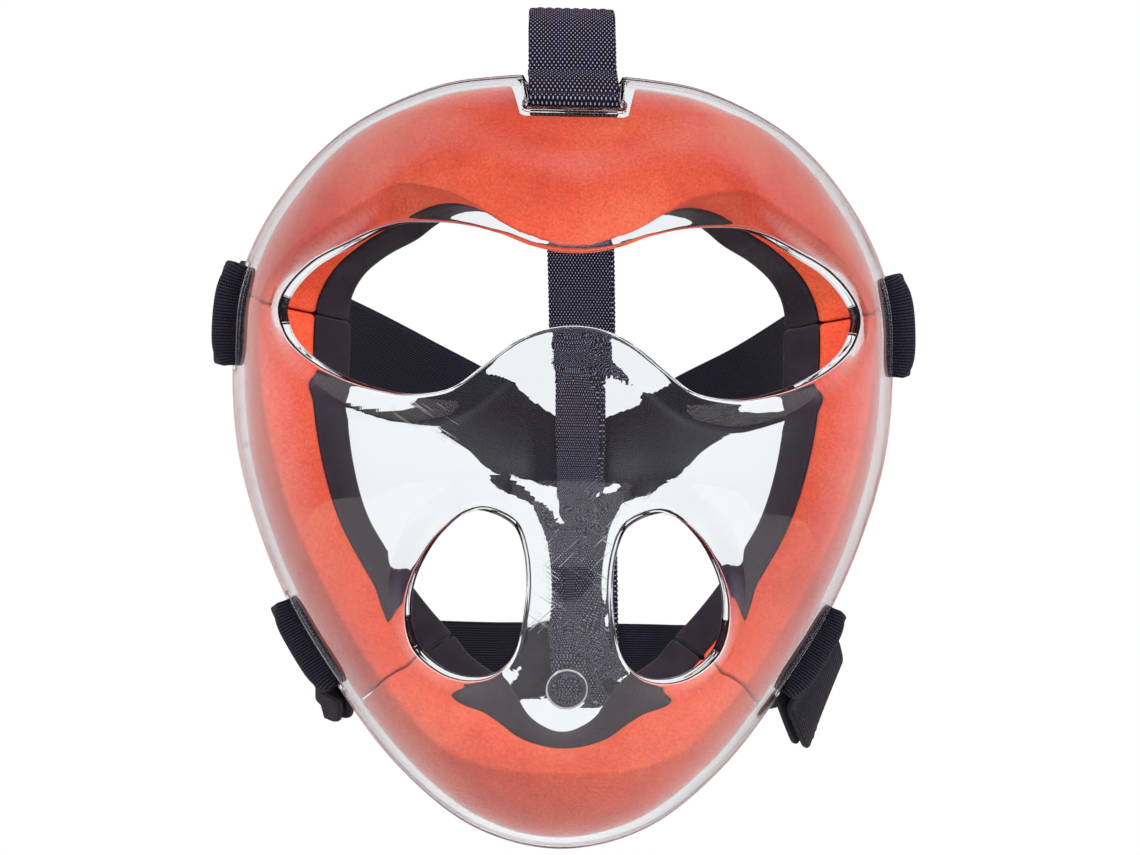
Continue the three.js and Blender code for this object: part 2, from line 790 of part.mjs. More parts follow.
// A strap's bend round a bar, from the peel line outside to the rim inside: rows of points across its width.
function foldRound({ angle, barInset, barWidth, barDrop, slack, bulge }, thickness, width) {
  const half = barWidth / 2;
  const near = barClearance + (shellWall + thickness) / 2;
  const far = near + slack;
  const turnReach = barClearance + thickness / 2;
  const onBar = Array.from({ length: barSteps }, (_, i) => barWidth * (i / barSteps - 1 / 2));
  const profile = [[-half - foldOverrun, far], ...onBar.map((inward) => [inward, far])];
  for (let step = 0; step <= foldSteps; step++) {
    const turn = Math.PI / 2 - (Math.PI * step) / foldSteps;
    const height = Math.sin(turn) > 0 ? far : near;
    const standOff = bulge * Math.max(0, Math.sin(2 * turn));
    profile.push([half + turnReach * Math.cos(turn) + standOff, height * Math.sin(turn)]);
  }
  profile.push(...onBar.reverse().map((inward) => [inward, -near]));
  return profile.map(([inward, above]) => {
    const nearest = THREE.MathUtils.clamp(inward, -half, half);
    const fromRim = barInset + half + nearest;
    return acrossShares.map((share) => {
      const { point, rimward, outward } = rimFrame(angleAlong(angle, width * share, fromRim), fromRim);
      const height = above - barDrop - shellWall / 2;
      return point.addScaledVector(rimward, nearest - inward).addScaledVector(outward, height);
    });
  });
}

// A strap is a fold and the run behind it. Its run can be sampled by the length from the fold.
class Strap {
  constructor(bar, width, thickness, upAxis, centres) {
    this.width = width;
    this.thickness = thickness;
    this.fold = foldRound(bar, thickness, width);
    const start = this.fold.at(-1);
    const before = this.fold.at(-2);
    const side = start.at(-1).clone().sub(start[0]).normalize();
    const path = [start[bandSteps / 2], ...centres];
    const sides = path.map((_, i) => {
      if (i === 0) return side;
      const along = (path[i + 1] ?? path[i]).clone().sub(path[i - 1]).normalize();
      const across = upAxis.clone().addScaledVector(along, -along.dot(upAxis)).normalize();
      const cut = i < path.length - 1 ? across : upAxis.clone().divideScalar(across.dot(upAxis));
      cut.multiplyScalar(Math.sign(cut.dot(side)));
      return i === 1 ? cut.lerp(side, slotHoldShare).normalize() : cut;
    });
    this.columns = acrossShares.map((share, j) => {
      const lead = start[j].clone().add(start[j].clone().sub(before[j]).multiplyScalar(1 / 2));
      const rest = centres.map((centre, i) => centre.clone().addScaledVector(sides[i + 1], share * width));
      return new THREE.CatmullRomCurve3([start[j], lead, ...rest], false, "centripetal");
    });
  }

  get runLength() {
    return this.columns[bandSteps / 2].getLength();
  }

  rowAt(length) {
    const share = THREE.MathUtils.clamp(length / this.runLength, 0, 1);
    return this.columns.map((column) => column.getPointAt(share));
  }

  rows(steps) {
    const run = Array.from({ length: steps }, (_, i) => this.rowAt((this.runLength * (i + 1)) / steps));
    return [...this.fold, ...run];
  }

  // Rows over the run's outer face between two lengths, at a height over its middle and in from its edges.
  over(from, to, height, inset) {
    const margin = inset / this.width;
    const shares = Array.from({ length: laySteps + 1 }, (_, i) => i / laySteps);
    const rows = shares.map((share) => {
      const row = this.rowAt(THREE.MathUtils.lerp(from, to, share));
      return row.map((_, j) => {
        const place = bandSteps * THREE.MathUtils.lerp(margin, 1 - margin, j / bandSteps);
        const low = Math.min(Math.floor(place), bandSteps - 1);
        return row[low].clone().lerp(row[low + 1], place - low);
      });
    });
    const outward = gridNormals(rows).map((row, i) =>
      row.map((normal, j) => {
        const fromHead = rows[i][j].clone().sub(headMiddle);
        return normal.multiplyScalar(Math.sign(normal.dot(fromHead)));
      }),
    );
    return offsetGrid(rows, outward, height);
  }

  // The tab that lies back over the strap from the peel line, and the hook patch under it.
  tab(length) {
    const [peel, next] = this.fold;
    const height = this.thickness + fasteningHeight;
    const laid = this.over(tabSettle, length, height, 0);
    const curves = peel.map((point, j) => {
      const onward = point.clone().sub(next[j]).normalize();
      const lead = [layGap, layGap + this.thickness].map((hop) => point.clone().addScaledVector(onward, hop));
      return new THREE.CatmullRomCurve3([...lead, ...laid.map((row) => row[j])], false, "centripetal");
    });
    const shares = Array.from({ length: tabSteps + 1 }, (_, i) => i / tabSteps);
    return shares.map((share) => curves.map((curve) => curve.getPointAt(share)));
  }

  hookPatch(length) {
    const tip = length - hookInset;
    return this.over(tip - hookLength, tip, (this.thickness + hookThickness) / 2 + layGap, hookInset);
  }
}

const group = new THREE.Group();

function addPiece(name, geometry, finish) {
  const mesh = new THREE.Mesh(geometry, finish);
  mesh.name = name;
  group.add(mesh);
}

addPiece("shell", makeShell(), materials.shell);
for (const [name, [from, to, steps]] of Object.entries(padSpans)) {
  addPiece(`${name}_foam`, padLayer(from, to, steps, foamDepth, foamThickness), materials.foam);
  addPiece(`${name}_liner`, padLayer(from, to, steps, linerDepth, linerThickness), materials.liner);
}

const sideBar = { barInset: 0, barWidth: sideBarWidth, barDrop: 0, slack: sideSlack, bulge: sideBulge };
const topBar = {
  angle: Math.PI / 2,
  barInset: topBarInset,
  barWidth: topBarWidth,
  barDrop: topBarDrop,
  slack: topSlack,
  bulge: 0,
};
const crownPath = [
  ...crownShares.map(([a, b, c]) => new THREE.Vector3(a * rearLean, b * harnessReach, c * crownRise)),
  ...crownBackShares.map(([a, c]) => new THREE.Vector3(a * rearLean, harnessReach, -c * crownDrop)),
];
const crownStrap = new Strap(topBar, webbingWidth, webbingThickness, new THREE.Vector3(1, 0, 0), crownPath);

// Where the crown strap's middle is at a height, on its straight part down the back.
function crownX(z) {
  const below = crownPath.findIndex((point) => point.y === harnessReach && point.z <= z);
  const [upper, lower] = [crownPath[below - 1], crownPath[below]];
  return THREE.MathUtils.lerp(upper.x, lower.x, (z - upper.z) / (lower.z - upper.z));
}

// A side strap ends on the crown strap's outer face, next to its fellow from the other side.
function sideStrap(side, slotAngle, pathShares, joinShare, climbShare) {
  const angle = side > 0 ? slotAngle : Math.PI - slotAngle;
  const joinZ = joinShare * halfHeight;
  const joinX = crownX(joinZ);
  const joinY = harnessReach + (webbingThickness + bandThickness) / 2 + layGap;
  const path = pathShares.map(([a, b, c]) => {
    const shift = joinX * smooth(b, 0, 1) ** 2;
    return new THREE.Vector3(side * a * halfWidth + shift, b * harnessReach, c * halfHeight);
  });
  for (const reach of [webbingWidth, sewnGap / 2]) {
    const climb = (climbShare * halfHeight * reach) / webbingWidth;
    path.push(new THREE.Vector3(joinX + side * reach, joinY, joinZ + climb));
  }
  return new Strap({ ...sideBar, angle }, bandWidth, bandThickness, new THREE.Vector3(0, 0, 1), path);
}

const straps = [["crown", crownStrap, crownTabLength, crownSteps, materials.webbing]];
for (const [name, side] of Object.entries({ left: 1, right: -1 })) {
  const temple = sideStrap(side, templeSlotAngle, templeShares, templeJoinShare, templeClimbShare);
  const jawPath = [side > 0 ? leftJawStartShares : rightJawStartShares, ...jawShares];
  const jaw = sideStrap(side, jawSlotAngle, jawPath, jawJoinShare, jawClimbShare);
  straps.push([`${name}_temple`, temple, templeTabLength, sideStrapSteps, materials.elastic]);
  straps.push([`${name}_jaw`, jaw, jawTabLength, sideStrapSteps, materials.elastic]);
}
for (const [name, strap, tabLength, steps, finish] of straps) {
  addPiece(`${name}_strap`, thickSheet(strap.rows(steps), strap.thickness), finish);
  addPiece(`${name}_tab`, thickSheet(strap.tab(tabLength), strap.thickness), finish);
  addPiece(`${name}_hook_patch`, thickSheet(strap.hookPatch(tabLength), hookThickness), materials.hook);
}

export default group;
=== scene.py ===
"""Looks of a field hockey face mask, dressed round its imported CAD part.

A clear moulded shell with one eye opening and two mouth openings stands in front of four pads of orange foam
with black liners. Four elastic straps and a webbing strap pass through slots in the shell, fold back over the
bars beside them and end in tabs with hook patches. All five are sewn together behind the head.

Everything is in metres, in the frame of the CAD part: +X is the wearer's left, +Y points from the face to the
back of the head and +Z is up.
"""

from __future__ import annotations

import logging
import math
from dataclasses import dataclass
from enum import Enum
from typing import Any, Callable

import bmesh
import bpy
import numpy as np
from bmesh.types import BMEdge, BMesh, BMVert
from bpy.types import Material, NodeSocket, NodeTree, Object
from mathutils import Matrix, Vector
from mathutils.kdtree import KDTree


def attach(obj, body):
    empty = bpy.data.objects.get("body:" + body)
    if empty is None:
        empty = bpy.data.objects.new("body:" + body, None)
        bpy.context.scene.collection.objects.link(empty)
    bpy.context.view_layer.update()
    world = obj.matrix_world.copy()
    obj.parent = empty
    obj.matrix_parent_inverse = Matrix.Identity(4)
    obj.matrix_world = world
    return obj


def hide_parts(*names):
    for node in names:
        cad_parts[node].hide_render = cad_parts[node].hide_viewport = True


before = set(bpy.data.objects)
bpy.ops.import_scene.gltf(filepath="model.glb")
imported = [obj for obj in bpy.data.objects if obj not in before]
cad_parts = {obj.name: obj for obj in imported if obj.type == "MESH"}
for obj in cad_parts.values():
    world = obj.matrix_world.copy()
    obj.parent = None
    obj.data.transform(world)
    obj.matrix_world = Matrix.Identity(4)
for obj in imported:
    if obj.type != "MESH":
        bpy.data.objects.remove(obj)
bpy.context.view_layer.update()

MM = 0.001
UP = np.array([0.0, 0.0, 1.0])
LEFT = np.array([1.0, 0.0, 0.0])
Array = np.ndarray
Surface = Callable[[Array, Array], Array]
Place = tuple[float, float, float]
Pairs = tuple[tuple[float, float], ...]
Triples = tuple[Place, ...]

log = logging.getLogger("face_mask")


# ---------------------------------------------------------------- curves and grids of points


def smoothstep(x: Array, low: float, high: float) -> Array:
    """Rise smoothly from 0 at low to 1 at high.

    Args:
        x: Values to map.
        low: Where the rise starts.
        high: Where it ends.

    Returns:
        Shares from 0 to 1.
    """
    share = np.clip((x - low) / (high - low), 0, 1)
    return share * share * (3 - 2 * share)


def unit(vectors: Array) -> Array:
    """Return vectors scaled to length 1 along their last axis."""
    return vectors / np.linalg.norm(vectors, axis=-1, keepdims=True)


def catmull_rom(points: Array, samples: int, closed: bool = False) -> Array:
    """Draw a smooth centripetal curve through points, or through each column of a grid of points.

    Args:
        points: Points along the first axis and coordinates along the last.
        samples: How many points to return.
        closed: Whether the last point leads back to the first.

    Returns:
        Points of the curve along the first axis.
    """
    count = len(points)
    spans = count if closed else count - 1
    at = np.linspace(0, spans, samples, endpoint=not closed)
    start = np.minimum(at.astype(int), spans - 1)
    share = (at - start).reshape(-1, *[1] * (points.ndim - 1))
    if closed:
        near = [points[(start + step) % count] for step in (-1, 0, 1, 2)]
    else:
        before = 2 * points[0] - points[1]
        after = 2 * points[-1] - points[-2]
        padded = np.concatenate([before[None], points, after[None]])
        near = [padded[start + step] for step in (0, 1, 2, 3)]
    hops = [np.sum((b - a) ** 2, axis=-1, keepdims=True) ** 0.25 for a, b in zip(near, near[1:])]
    p0, p1, p2, p3 = near
    d0, d1, d2 = hops
    leave = ((p1 - p0) / d0 - (p2 - p0) / (d0 + d1) + (p2 - p1) / d1) * d1
    arrive = ((p2 - p1) / d1 - (p3 - p1) / (d1 + d2) + (p3 - p2) / d2) * d1
    cubic = 2 * (p1 - p2) + leave + arrive
    square = 3 * (p2 - p1) - 2 * leave - arrive
    return p1 + share * (leave + share * (square + share * cubic))


def travelled(points: Array) -> Array:
    """Return the length along each column of a grid of points, row by row."""
    hops = np.linalg.norm(np.diff(points, axis=0), axis=-1)
    return np.concatenate([np.zeros((1, *hops.shape[1:])), np.cumsum(hops, axis=0)])


def at_lengths(grid: Array, shares: Array) -> Array:
    """Sample each column of a grid of points at shares of its own length.

    Args:
        grid: Rows by columns of points.
        shares: Shares of the length, from 0 to 1.

    Returns:
        One row of points for each share.
    """
    lengths = travelled(grid)
    found = np.empty((len(shares), *grid.shape[1:]))
    for column in range(grid.shape[1]):
        at = shares * lengths[-1, column]
        for axis in range(3):
            found[:, column, axis] = np.interp(at, lengths[:, column], grid[:, column, axis])
    return found


def sample_rows(grid: Array, rows: Array) -> Array:
    """Sample a grid of points at fractional row numbers.

    Args:
        grid: Rows by columns of points.
        rows: The row numbers.

    Returns:
        One row of points for each number.
    """
    low = np.clip(rows.astype(int), 0, len(grid) - 2)
    part = (rows - low)[:, None, None]
    return grid[low] * (1 - part) + grid[low + 1] * part


def sample_across(grid: Array, shares: Array, beyond: float = 0.0) -> Array:
    """Sample the rows of a grid at shares from 0, the first column, to 1, the last.

    Args:
        grid: Rows by columns of points.
        shares: One row of shares for every row of the grid, or a row of them for each.
        beyond: How far outside 0 and 1 a share may lie.

    Returns:
        Rows of points.
    """
    columns = grid.shape[1]
    place = np.clip(shares, -beyond, 1 + beyond) * (columns - 1)
    low = np.clip(place.astype(int), 0, columns - 2)
    part = (place - low)[..., None]
    row = np.arange(len(grid))[:, None]
    return grid[row, low] * (1 - part) + grid[row, low + 1] * part


def grid_normals(grid: Array) -> Array:
    """Return the unit normal at each point of a grid, from its neighbours."""
    return unit(np.cross(np.gradient(grid, axis=0), np.gradient(grid, axis=1)))


def mirrored(points: Pairs | Array) -> Array:
    """Return one side's points from the top down, then their mirror images back up again.

    Args:
        points: The points (x, z) of the side with x of 0 and more.

    Returns:
        The points of both sides.
    """
    side = np.array(points)
    other = side[side[:, 0] > 0][::-1] * [-1, 1]
    return np.concatenate([side, other])


# ---------------------------------------------------------------- meshes and pieces


def piece_from(bm: BMesh, name: str, finish: Material) -> Object:
    """Make a smooth shaded object of a bmesh, and free the bmesh.

    Args:
        bm: The finished shape.
        name: The object's name.
        finish: Its material.

    Returns:
        The object, at the origin.
    """
    bmesh.ops.recalc_face_normals(bm, faces=bm.faces)
    for face in bm.faces:
        face.smooth = True
    mesh = bpy.data.meshes.new(name)
    bm.to_mesh(mesh)
    bm.free()
    mesh.materials.append(finish)
    piece = bpy.data.objects.new(name, mesh)
    bpy.context.scene.collection.objects.link(piece)
    return piece


def closed_skin(points: Array, places: Array) -> BMesh:
    """Make a closed skin: a grid rolled into a tube, with both ends closed.

    Args:
        points: Rows of points, each row once round the section.
        places: Rows by columns of surface coordinates in metres, for the UV map.

    Returns:
        A bmesh of the skin.
    """
    rows, columns = points.shape[:2]
    bm = bmesh.new()
    uv = bm.loops.layers.uv.verify()
    grid = bmesh.ops.create_grid(bm, x_segments=rows - 1, y_segments=columns, size=0.5)["verts"]
    stations = {vert: (round((vert.co.x + 0.5) * (rows - 1)), round((vert.co.y + 0.5) * columns)) for vert in grid}
    for face in bm.faces:
        for loop in face.loops:
            row, column = stations[loop.vert]
            loop[uv].uv = places[row, min(column, columns - 1)]
    for vert, (row, column) in stations.items():
        vert.co = points[row, column % columns]
    seam = [vert for vert in grid if stations[vert][1] in (0, columns)]
    bmesh.ops.remove_doubles(bm, verts=seam, dist=1e-7)
    bmesh.ops.holes_fill(bm, edges=[edge for edge in bm.edges if edge.is_boundary], sides=0)
    return bm


def rounded_section(across: int, sides: int, corner: int) -> tuple[Array, Array, Array, Array]:
    """Lay out points once round a section with rounded corners.

    Args:
        across: Steps along the two long faces.
        sides: Steps up the two sides.
        corner: Steps round each corner.

    Returns:
        For each point its share across, its share up, and how far the corner's rounding pushes it in across and
        up, as shares of the corner's radius.
    """
    runs = [((0, 0), (1, 0), across), ((1, 0), (1, 1), sides), ((1, 1), (0, 1), across), ((0, 1), (0, 0), sides)]
    points: list[tuple[float, float, float, float]] = []
    for quarter, ((x0, y0), (x1, y1), steps) in enumerate(runs):
        for share in np.arange(1, steps) / steps:
            points.append((x0 + (x1 - x0) * share, y0 + (y1 - y0) * share, 0, 0))
        for turn in (quarter - 1 + np.linspace(0, 1, corner + 1)) * math.pi / 2:
            points.append((x1, y1, 1 - 2 * x1 + math.cos(turn), 1 - 2 * y1 + math.sin(turn)))
    return tuple(np.array(points).T)


def end_rounding(lengths: Array, radius: float, start: bool, end: bool) -> Array:
    """Return how far a rounded end pulls the section in at each length, as a share of the radius.

    Args:
        lengths: Lengths of the rows from the first row.
        radius: The rounding's radius.
        start: Whether the first end is rounded.
        end: Whether the last end is rounded.

    Returns:
        Shares from 0, not at all, to 1 at the very end.
    """
    away = np.full_like(lengths, radius)
    if start:
        away = np.minimum(away, lengths)
    if end:
        away = np.minimum(away, lengths[-1] - lengths)
    return 1 - np.sqrt(1 - (1 - away / radius) ** 2)


def end_rows(length: float, step: float, radius: float, start: bool, end: bool) -> Array:
    """Return the lengths of a piece's rows: even ones, and close ones round each rounded end.

    Args:
        length: The piece's length.
        step: About how far apart the even rows are.
        radius: The ends' radius.
        start: Whether the first end is rounded.
        end: Whether the last end is rounded.

    Returns:
        Rising lengths from the first row.
    """
    rows = np.linspace(0, length, max(2, round(length / step)) + 1)
    close = radius * (1 - np.cos(np.linspace(0, math.pi / 2, 5)))
    clear = 1.2 * radius
    if start:
        rows = np.concatenate([close, rows[rows > clear]])
    if end:
        rows = np.concatenate([rows[rows < length - clear], length - close[::-1]])
    return rows


# ---------------------------------------------------------------- finishes
# A pattern's size is that of one repeat: MM / 1.5 is a grain that comes 1.5 times to the millimetre


def linear(code: str) -> tuple[float, float, float, float]:
    """Turn an sRGB hex colour such as "#E8503C" to linear red, green, blue and alpha.

    Args:
        code: The colour.

    Returns:
        The four linear values.
    """
    values = [int(code[at : at + 2], 16) / 255 for at in (1, 3, 5)]
    red, green, blue = [v / 12.92 if v <= 0.04045 else ((v + 0.055) / 1.055) ** 2.4 for v in values]
    return red, green, blue, 1.0


def add_node(
    tree: NodeTree,
    kind: str,
    inputs: dict[Any, Any] | None = None,
    stops: list[tuple[float, str]] | None = None,
    **settings: Any,
) -> Any:
    """Add a shader node.

    Args:
        tree: The material's node tree.
        kind: The node's type, without its "ShaderNode".
        inputs: Input sockets by name or number, each with a value or the output that feeds it.
        stops: Places and colours along the node's ramp, where it has one.
        **settings: The node's own properties.

    Returns:
        The new node.
    """
    node = tree.nodes.new(f"ShaderNode{kind}")
    for name, value in settings.items():
        setattr(node, name, value)
    for index, (place, code) in enumerate(stops or []):
        elements = node.color_ramp.elements
        stop = elements[index] if index < 2 else elements.new(place)
        stop.position = place
        stop.color = linear(code)
    for key, value in (inputs or {}).items():
        if isinstance(value, NodeSocket):
            tree.links.new(value, node.inputs[key])
        else:
            node.inputs[key].default_value = value
    return node


def new_material(name: str) -> tuple[Material, NodeTree]:
    """Make an empty node material.

    Args:
        name: The material's name.

    Returns:
        The material and its node tree.
    """
    material = bpy.data.materials.new(name)
    material.use_nodes = True
    material.node_tree.nodes.clear()
    return material, material.node_tree


def cover(
    tree: NodeTree, colour: Any, height: Any, strength: float, depth: float, look: dict[str, float]
) -> None:
    """End a material: its colour on an opaque surface with a fine relief.

    Args:
        tree: The material's node tree.
        colour: The output that gives the colour.
        height: The output that gives the relief's height, about 0 to 1.
        strength: How much of the relief shows.
        depth: How deep the relief is.
        look: The surface's other values, by socket.
    """
    relief = add_node(tree, "Bump", {"Height": height, "Strength": strength, "Distance": depth})
    surface = add_node(tree, "BsdfPrincipled", {"Base Color": colour, "Normal": relief.outputs["Normal"], **look})
    add_node(tree, "OutputMaterial", {"Surface": surface.outputs[0]})


@dataclass(frozen=True)
class ClearPolycarbonate:
    """Injection moulded clear polycarbonate: very glossy, hardly tinted, with hairline scratches from play."""

    gate_drop: float
    gate_radius: float
    gate_line: float = 0.16 * MM
    tint: str = "#F4F8FB"
    index: float = 1.5
    roughness: float = 0.012
    frost: float = 0.5
    scratch_frost: float = 0.5
    scratch_width: float = 0.25 * MM
    scratch_length: float = 14 * MM
    scratch_depth: float = 0.012 * MM
    scratch_turns: tuple[float, float] = (0.55, -0.8)
    worn_patch: float = MM / 0.024
    swell_length: float = MM / 0.045
    swell_depth: float = 0.05 * MM
    shadow_tint: str = "#F2F4F6"
    passes: int = 7

    def scratches(self, tree: NodeTree, place: Any) -> Any:
        """Return an output that is 1 on hairline scratches, drawn wider than real ones so that they show.

        Args:
            tree: The material's node tree.
            place: The output that gives the place on the shell.

        Returns:
            The output.
        """
        lines = []
        size = (self.scratch_length, self.scratch_length, self.scratch_width)
        for turn in self.scratch_turns:
            turned = add_node(tree, "Mapping", {
                "Vector": place, "Rotation": (0, turn, 0), "Scale": size,
            }, vector_type="TEXTURE")
            noise = add_node(tree, "TexNoise", {"Vector": turned.outputs[0], "Scale": 1.0, "Detail": 1.0})
            line = add_node(tree, "MapRange", {"Value": noise.outputs["Fac"], "From Min": 0.7, "From Max": 0.78})
            lines.append(line.outputs["Result"])
        both = add_node(tree, "Math", {0: lines[0], 1: lines[1]}, operation="MAXIMUM")
        worn = add_node(tree, "TexNoise", {"Vector": place, "Scale": 1 / self.worn_patch, "Detail": 2.0})
        where = add_node(tree, "MapRange", {"Value": worn.outputs["Fac"], "From Min": 0.5, "From Max": 0.7})
        return add_node(tree, "Math", {0: both.outputs[0], 1: where.outputs[0]}, operation="MULTIPLY").outputs[0]

    def gate_ring(self, tree: NodeTree, place: Any) -> Any:
        """Return an output that is 1 on the fine frosted ring that the moulding gate leaves.

        Args:
            tree: The material's node tree.
            place: The output that gives the place on the shell.

        Returns:
            The output.
        """
        flat = add_node(tree, "VectorMath", {0: place, 1: (1, 0, 1)}, operation="MULTIPLY")
        away = add_node(tree, "VectorMath", {0: flat.outputs[0], 1: (0, 0, -self.gate_drop)}, operation="DISTANCE")
        return add_node(tree, "Math", {
            0: away.outputs["Value"], 1: self.gate_radius, 2: self.gate_line,
        }, operation="COMPARE").outputs[0]

    def material(self) -> Material:
        """Build the material.

        Returns:
            The material.
        """
        material, tree = new_material("moulded_clear_polycarbonate")
        place = add_node(tree, "TexCoord").outputs["Object"]
        scratches = self.scratches(tree, place)
        # The mould's own slight unevenness makes reflections waver
        swell = add_node(tree, "TexNoise", {"Vector": place, "Scale": 1 / self.swell_length, "Detail": 1.0})
        wavy = add_node(tree, "Bump", {"Height": swell.outputs["Fac"], "Strength": 1.0, "Distance": self.swell_depth})
        bump = add_node(tree, "Bump", {
            "Height": scratches, "Strength": 0.4, "Distance": self.scratch_depth, "Normal": wavy.outputs["Normal"],
        }, invert=True)
        frosted = add_node(tree, "Math", {
            0: scratches, 1: self.scratch_frost, 2: self.gate_ring(tree, place),
        }, operation="MULTIPLY_ADD")
        gloss = add_node(tree, "MapRange", {
            "Value": frosted.outputs[0], "To Min": self.roughness, "To Max": self.frost,
        })
        clear = add_node(tree, "BsdfPrincipled", {
            "Base Color": linear(self.tint), "Roughness": gloss.outputs["Result"], "IOR": self.index,
            "Transmission Weight": 1.0, "Normal": bump.outputs["Normal"],
        })
        # Lamps shine through to the foam, and light that has gone round a lip many times comes out again
        through = add_node(tree, "BsdfTransparent", {"Color": linear(self.shadow_tint)})
        path = add_node(tree, "LightPath")
        many = add_node(tree, "Math", {0: path.outputs["Transmission Depth"], 1: self.passes}, operation="GREATER_THAN")
        leave = add_node(tree, "Math", {0: path.outputs["Is Shadow Ray"], 1: many.outputs[0]}, operation="MAXIMUM")
        mixed = add_node(tree, "MixShader", {"Fac": leave.outputs[0], 1: clear.outputs[0], 2: through.outputs[0]})
        add_node(tree, "OutputMaterial", {"Surface": mixed.outputs[0]})
        return material


@dataclass(frozen=True)
class OrangeFoam:
    """Closed-cell EVA foam cut from sheet: dead matt red-orange, finely speckled, with slightly uneven colour."""

    colour: str = "#FC6243"
    dark: str = "#EC543A"
    light: str = "#FF7653"
    pore: float = 0.55 * MM
    grain: float = MM / 1.5
    cloud: float = MM / 0.038

    def material(self) -> Material:
        """Build the material.

        Returns:
            The material.
        """
        material, tree = new_material("closed_cell_eva_foam_orange")
        place = add_node(tree, "TexCoord").outputs["Object"]
        cloudy = add_node(tree, "TexNoise", {
            "Vector": place, "Scale": 1 / self.cloud, "Detail": 4.0, "Roughness": 0.6,
        })
        body = add_node(tree, "ValToRGB", {"Fac": cloudy.outputs["Fac"]}, stops=[
            (0.3, self.dark), (0.5, self.colour), (0.72, self.light),
        ])
        pores = add_node(tree, "TexVoronoi", {"Vector": place, "Scale": 1 / self.pore})
        grain = add_node(tree, "TexNoise", {"Vector": place, "Scale": 1 / self.grain, "Detail": 3.0})
        speck = add_node(tree, "MapRange", {
            "Value": grain.outputs["Fac"], "From Min": 0.3, "From Max": 0.7, "To Min": 0.7,
        })
        colour = add_node(tree, "Mix", {
            0: 1.0, 6: body.outputs["Color"], 7: speck.outputs["Result"],
        }, data_type="RGBA", blend_type="MULTIPLY")
        height = add_node(tree, "Math", {0: pores.outputs["Distance"], 1: grain.outputs["Fac"]}, operation="ADD")
        look = {"Roughness": 0.95, "Specular IOR Level": 0.1}
        cover(tree, colour.outputs[2], height.outputs[0], 0.4, 0.15 * MM, look)
        return material


@dataclass(frozen=True)
class BrushedLiner:
    """Neoprene faced with brushed nylon jersey: black with a warm cast, a soft nap and fine knitted rows."""

    colour: str = "#262027"
    worn: str = "#332C34"
    # Coarser than real jersey, whose stitches of half a millimetre wouldn't show
    stitch: float = 0.8 * MM
    nap: float = MM / 1.9
    cloud: float = MM / 0.06

    def material(self) -> Material:
        """Build the material.

        Returns:
            The material.
        """
        material, tree = new_material("nylon_faced_neoprene_black")
        place = add_node(tree, "TexCoord").outputs["UV"]
        cell = add_node(tree, "Mapping", {"Vector": place, "Scale": (1 / self.stitch, 1.3 / self.stitch, 1)})
        knit = add_node(tree, "TexVoronoi", {"Vector": cell.outputs[0], "Scale": 1.0, "Randomness": 0.25})
        nap = add_node(tree, "TexNoise", {"Vector": place, "Scale": 1 / self.nap, "Detail": 3.0})
        cloudy = add_node(tree, "TexNoise", {"Vector": place, "Scale": 1 / self.cloud, "Detail": 3.0})
        body = add_node(tree, "ValToRGB", {"Fac": cloudy.outputs["Fac"]}, stops=[(0.35, self.colour), (0.7, self.worn)])
        height = add_node(tree, "Math", {0: knit.outputs["Distance"], 1: nap.outputs["Fac"]}, operation="ADD")
        look = {"Roughness": 0.95, "Specular IOR Level": 0.2, "Sheen Weight": 0.15, "Sheen Roughness": 0.5}
        cover(tree, body.outputs["Color"], height.outputs[0], 0.5, 0.2 * MM, look)
        return material


@dataclass(frozen=True)
class RibbedElastic:
    """Knitted polyester elastic: matt blue-black, with fine ribs along its length crossed by slanting stitches."""

    colour: str = "#08080F"
    # The ridge colour on the raised ribs is partly the threads' own lighter tone and partly a painted highlight
    ridge: str = "#2A2A3A"
    rib: float = 0.88 * MM
    course: float = 0.6 * MM
    slant: float = 0.25
    fluff: float = MM / 0.9

    def material(self) -> Material:
        """Build the material.

        Returns:
            The material.
        """
        material, tree = new_material("knitted_elastic_black")
        place = add_node(tree, "TexCoord").outputs["UV"]
        slanted = add_node(tree, "Mapping", {"Vector": place, "Rotation": (0, 0, self.slant)})
        axes = add_node(tree, "SeparateXYZ", {0: place})
        turned = add_node(tree, "SeparateXYZ", {0: slanted.outputs[0]})
        wobble = add_node(tree, "TexNoise", {"Vector": place, "Scale": 1 / self.fluff, "Detail": 2.0})
        turns = []
        for along, pitch in ((axes.outputs["Y"], self.rib), (turned.outputs["X"], self.course)):
            angle = add_node(tree, "Math", {0: along, 1: 2 * math.pi / pitch}, operation="MULTIPLY")
            wave = add_node(tree, "Math", {0: angle.outputs[0]}, operation="SINE")
            turns.append(add_node(tree, "MapRange", {"Value": wave.outputs[0], "From Min": -1.0}).outputs["Result"])
        knit = add_node(tree, "Math", {0: turns[1], 1: 0.45, 2: turns[0]}, operation="MULTIPLY_ADD")
        height = add_node(tree, "Math", {
            0: wobble.outputs["Fac"], 1: 0.5, 2: knit.outputs[0],
        }, operation="MULTIPLY_ADD")
        share = add_node(tree, "MapRange", {"Value": height.outputs[0], "From Min": 0.3, "From Max": 1.7})
        # Higher ribs and stitches are painted towards the ridge colour: lighter threads and a painted highlight on
        # their crowns
        body = add_node(tree, "ValToRGB", {"Fac": share.outputs["Result"]}, stops=[
            (0.15, self.colour), (0.95, self.ridge),
        ])
        look = {"Roughness": 0.85, "Specular IOR Level": 0.2, "Sheen Weight": 0.05, "Sheen Roughness": 0.4}
        cover(tree, body.outputs["Color"], height.outputs[0], 0.7, 0.25 * MM, look)
        return material


